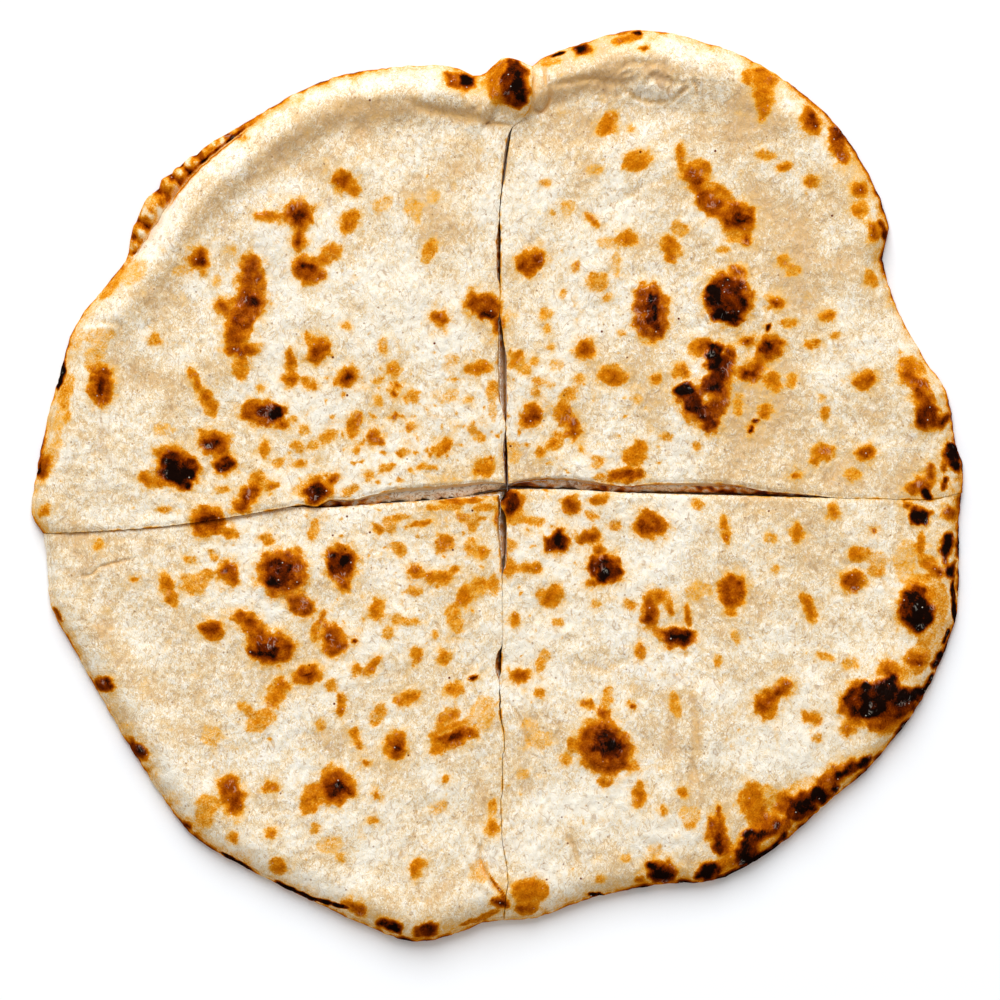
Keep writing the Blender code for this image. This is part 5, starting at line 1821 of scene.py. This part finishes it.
@dataclass(frozen=True)
class BakedSkin:
    """Blistered skin: floury cream, beige where the dough shows through and as painted shade, painted
    highlights, and the oven's marks.
    """

    name: str = "blistered_skin"
    dry: float = 0.62
    oiled: float = 0.34

    def build(self, fibre: Tree, scorch: Tree) -> Material:
        """Makes the material.

        Args:
            fibre: The tangled grain.
            scorch: The oven's colours.

        Returns:
            The material.
        """
        started = Started(self.name)
        nodes, place, oily = started.nodes, started.place, started.nodes.said("wet")
        grain = started.group(fibre)
        strands, cracks = grain["Strands"], grain["Cracks"]
        patches = nodes.noise(place, 14.0, Detail=4.0, Roughness=0.52, Distortion=0.4)
        # Painted light and shade: the grain's Shade, lighter on its high places and darker in its low ones,
        # and the mesh's tone, which holds painted shade, set the skin's cream
        lift = nodes.times(nodes.minus(grain["Shade"], 0.5), 0.34)
        tone = nodes.plus(nodes.plus(patches, lift), nodes.times(nodes.said("tone"), 0.12))
        tone = nodes.plus(nodes.times(tone, 1.15), -0.065)
        deep = (0.14, "tan"), (0.26, "beige"), (0.40, "cream")
        plain = nodes.ramp(tone, *deep, (0.52, "milk"), (0.66, "flour"))
        # White strands: partly the skin's floury fibres, partly painted highlight that grows where the skin
        # is oily and fades in deeper cream
        fibres_and_glints = nodes.times(strands, nodes.plus(nodes.times(oily, 0.6), 0.65), clamp=True)
        fibres_and_glints = nodes.times(fibres_and_glints, nodes.ramp(tone, (0.3, 0.3), (0.52, 1.0)))
        plain = nodes.mix(fibres_and_glints, plain, linear("fibre_and_glint_white"))
        # Painted shade: thin cracks and the folds are mixed towards a darker tan, as shade that falls in them
        plain = nodes.mix(nodes.times(cracks, 0.65), plain, linear("crease_shade_tan"))
        folds = nodes.times(grain["Folds"], nodes.said("folded"))
        fold_shade = nodes.plus(nodes.times(grain["Folds"], 0.10), nodes.times(folds, 0.6))
        plain = nodes.mix(fold_shade, plain, linear("crease_shade_tan"))
        specks = nodes.times(nodes.dots(place, 2.1, 0.08, 0.16, 0.4), 0.7)
        plain = nodes.mix(specks, plain, linear("speck"))
        streaks = nodes.times(nodes.minus(cracks, strands), nodes.times(started.heat, 0.10, clamp=True))
        baked = started.group(scorch, Plain=plain, Heat=nodes.plus(started.heat, streaks))
        # Painted highlight: sparse pale strokes and dots are mixed into the colour of scorched skin to stand
        # in for glints
        sparse = nodes.ramp(nodes.noise(place, 4.5, Detail=1.0), (0.62, 0.0), (0.68, 0.4))
        painted_glint = nodes.most(nodes.times(strands, sparse), nodes.dots(place, 1.6, 0.07, 0.14, 0.35))
        painted_glint = nodes.times(painted_glint, nodes.times(baked["Scorched"], 0.6))
        colour = nodes.mix(painted_glint, baked["Color"], linear("cheese"))
        pepper = nodes.dots(place, 3.2, 0.07, 0.12, nodes.said("pepper"))
        wet = nodes.minus(oily, nodes.times(baked["Scorched"], 0.55), clamp=True)
        rough = nodes.minus(self.dry, nodes.times(wet, self.dry - self.oiled))
        return started.finish(
            nodes.minus(grain["Height"], nodes.times(folds, 0.5)),
            0.7,
            Base_Color=nodes.mix(pepper, colour, linear("dark")),
            Roughness=nodes.plus(rough, nodes.times(lift, 0.8)),
            Specular_IOR_Level=0.0,
            Coat_Weight=nodes.times(nodes.plus(strands, 0.02), wet, clamp=True),
            Coat_Roughness=0.12,
        )


@dataclass(frozen=True)
class TornCrumb:
    """The dough's pale moist inside where the knife went."""

    name: str = "torn_crumb"

    def build(self, fibre: Tree, scorch: Tree) -> Material:
        """Makes the material.

        Args:
            fibre: The tangled grain.
            scorch: The oven's colours.

        Returns:
            The material.
        """
        started = Started(self.name)
        height = started.group(fibre)["Height"]
        plain = started.nodes.ramp(height, (0.3, "beige"), (0.5, "cream"), (0.75, "crumb"))
        baked = started.group(scorch, Plain=plain, Heat=started.heat)
        return started.finish(height, 0.8, Base_Color=baked["Color"], Roughness=0.6, Specular_IOR_Level=0.1)


@dataclass(frozen=True)
class MeltedCheese:
    """Pale stringy cheese, glossy where it has run."""

    name: str = "melted_cheese_strings"

    def build(self, scorch: Tree) -> Material:
        """Makes the material.

        Args:
            scorch: The oven's colours.

        Returns:
            The material.
        """
        started = Started(self.name)
        nodes = started.nodes
        strings = nodes.noise(started.place, 1.8, Detail=3.0, Distortion=2.5)
        plain = nodes.ramp(strings, (0.38, "streak"), (0.47, "cheese"), (0.56, "curd"))
        baked = started.group(scorch, Plain=plain, Heat=started.heat)
        rough = nodes.ramp(strings, (0.3, 0.5), (0.7, 0.28))
        return started.finish(strings, 0.7, Base_Color=baked["Color"], Roughness=rough)


class Finishes:
    """All finishes of the bread, each made once."""

    def __init__(self) -> None:
        """Makes the shared groups and the materials."""
        fibre, scorch = fibre_group(), scorch_group()
        self.skin = BakedSkin().build(fibre, scorch)
        self.crumb = TornCrumb().build(fibre, scorch)
        self.cheese = MeltedCheese().build(scorch)


@dataclass(frozen=True)
class Studio:
    """The pale floor, the soft light and the camera straight above."""

    middle: tuple[float, float] = (VIEW_MIDDLE, VIEW_MIDDLE)
    frame_mm: float = 250.0
    sensor_mm: float = 36.0
    key_place: tuple[float, float, float] = (-0.3, 2.6, 2.4)
    key_size: float = 2.5
    key_power: float = 142.0
    key_tint: tuple[float, float, float] = (0.97, 1.0, 1.03)
    sky_strength: float = 0.45
    sky_tint: tuple[float, float, float] = (1.0, 0.955, 0.905)

    def build(self) -> None:
        """Makes the camera, the lights and the floor."""
        scene = bpy.context.scene
        scene.view_settings.view_transform = "Standard"
        x, y = from_photo(*self.middle)
        camera = bpy.data.objects.new("camera_above", bpy.data.cameras.new("camera_above"))
        camera.location = (float(x) * MM, float(y) * MM, CAMERA_HEIGHT)
        camera.data.sensor_width = self.sensor_mm
        camera.data.lens = self.sensor_mm * CAMERA_HEIGHT / (self.frame_mm * MM)
        scene.collection.objects.link(camera)
        scene.camera = camera
        lamp = bpy.data.lights.new("key_light", "AREA")
        lamp.energy, lamp.size, lamp.color = self.key_power, self.key_size, self.key_tint
        key = bpy.data.objects.new("key_light", lamp)
        key.location = self.key_place
        key.rotation_euler = (-key.location).to_track_quat("-Z", "Y").to_euler()
        scene.collection.objects.link(key)
        world = bpy.data.worlds.new("soft_sky")
        world.use_nodes = True
        world.node_tree.nodes["Background"].inputs["Color"].default_value = (*self.sky_tint, 1)
        world.node_tree.nodes["Background"].inputs["Strength"].default_value = self.sky_strength
        scene.world = world
        self.floor()

    def floor(self) -> None:
        """A wide pale floor under the bread."""
        shape = bmesh.new()
        bmesh.ops.create_grid(shape, x_segments=1, y_segments=1, size=3.0)
        mesh = bpy.data.meshes.new("pale_floor")
        shape.to_mesh(mesh)
        shape.free()
        made = bpy.data.objects.new("pale_floor", mesh)
        material = bpy.data.materials.new("pale_floor")
        material.use_nodes = True
        shader = material.node_tree.nodes["Principled BSDF"]
        shader.inputs["Base Color"].default_value = linear("floor")
        shader.inputs["Roughness"].default_value = 0.9
        shader.inputs["Specular IOR Level"].default_value = 0.0
        mesh.materials.append(material)
        bpy.context.scene.collection.objects.link(made)
        made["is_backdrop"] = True


def write_sizes(solids: object) -> None:
    """Works out the solids' box and the dressed model's box side by side, and does nothing with them.

    Args:
        solids: The two corners of the solids' box.
    """
    def plain(box: object) -> list[list[float]]:
        """A box as plain lists of numbers."""
        return [[float(value) for value in corner] for corner in box]

    {"cad": plain(solids), "visual": plain(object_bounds())}


def main() -> None:
    """Builds the bread and its studio, and reports each piece."""
    logging.basicConfig(level=logging.INFO, format="%(message)s")
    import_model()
    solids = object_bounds()
    dress = Finishes()
    for quarter in QUARTERS:
        dough = DoughQuarter(quarter)
        dough.build(dress)
        CheeseLayer(dough).build(dress)
    Studio().build()
    write_sizes(solids)


if __name__ == "__main__":
    main()
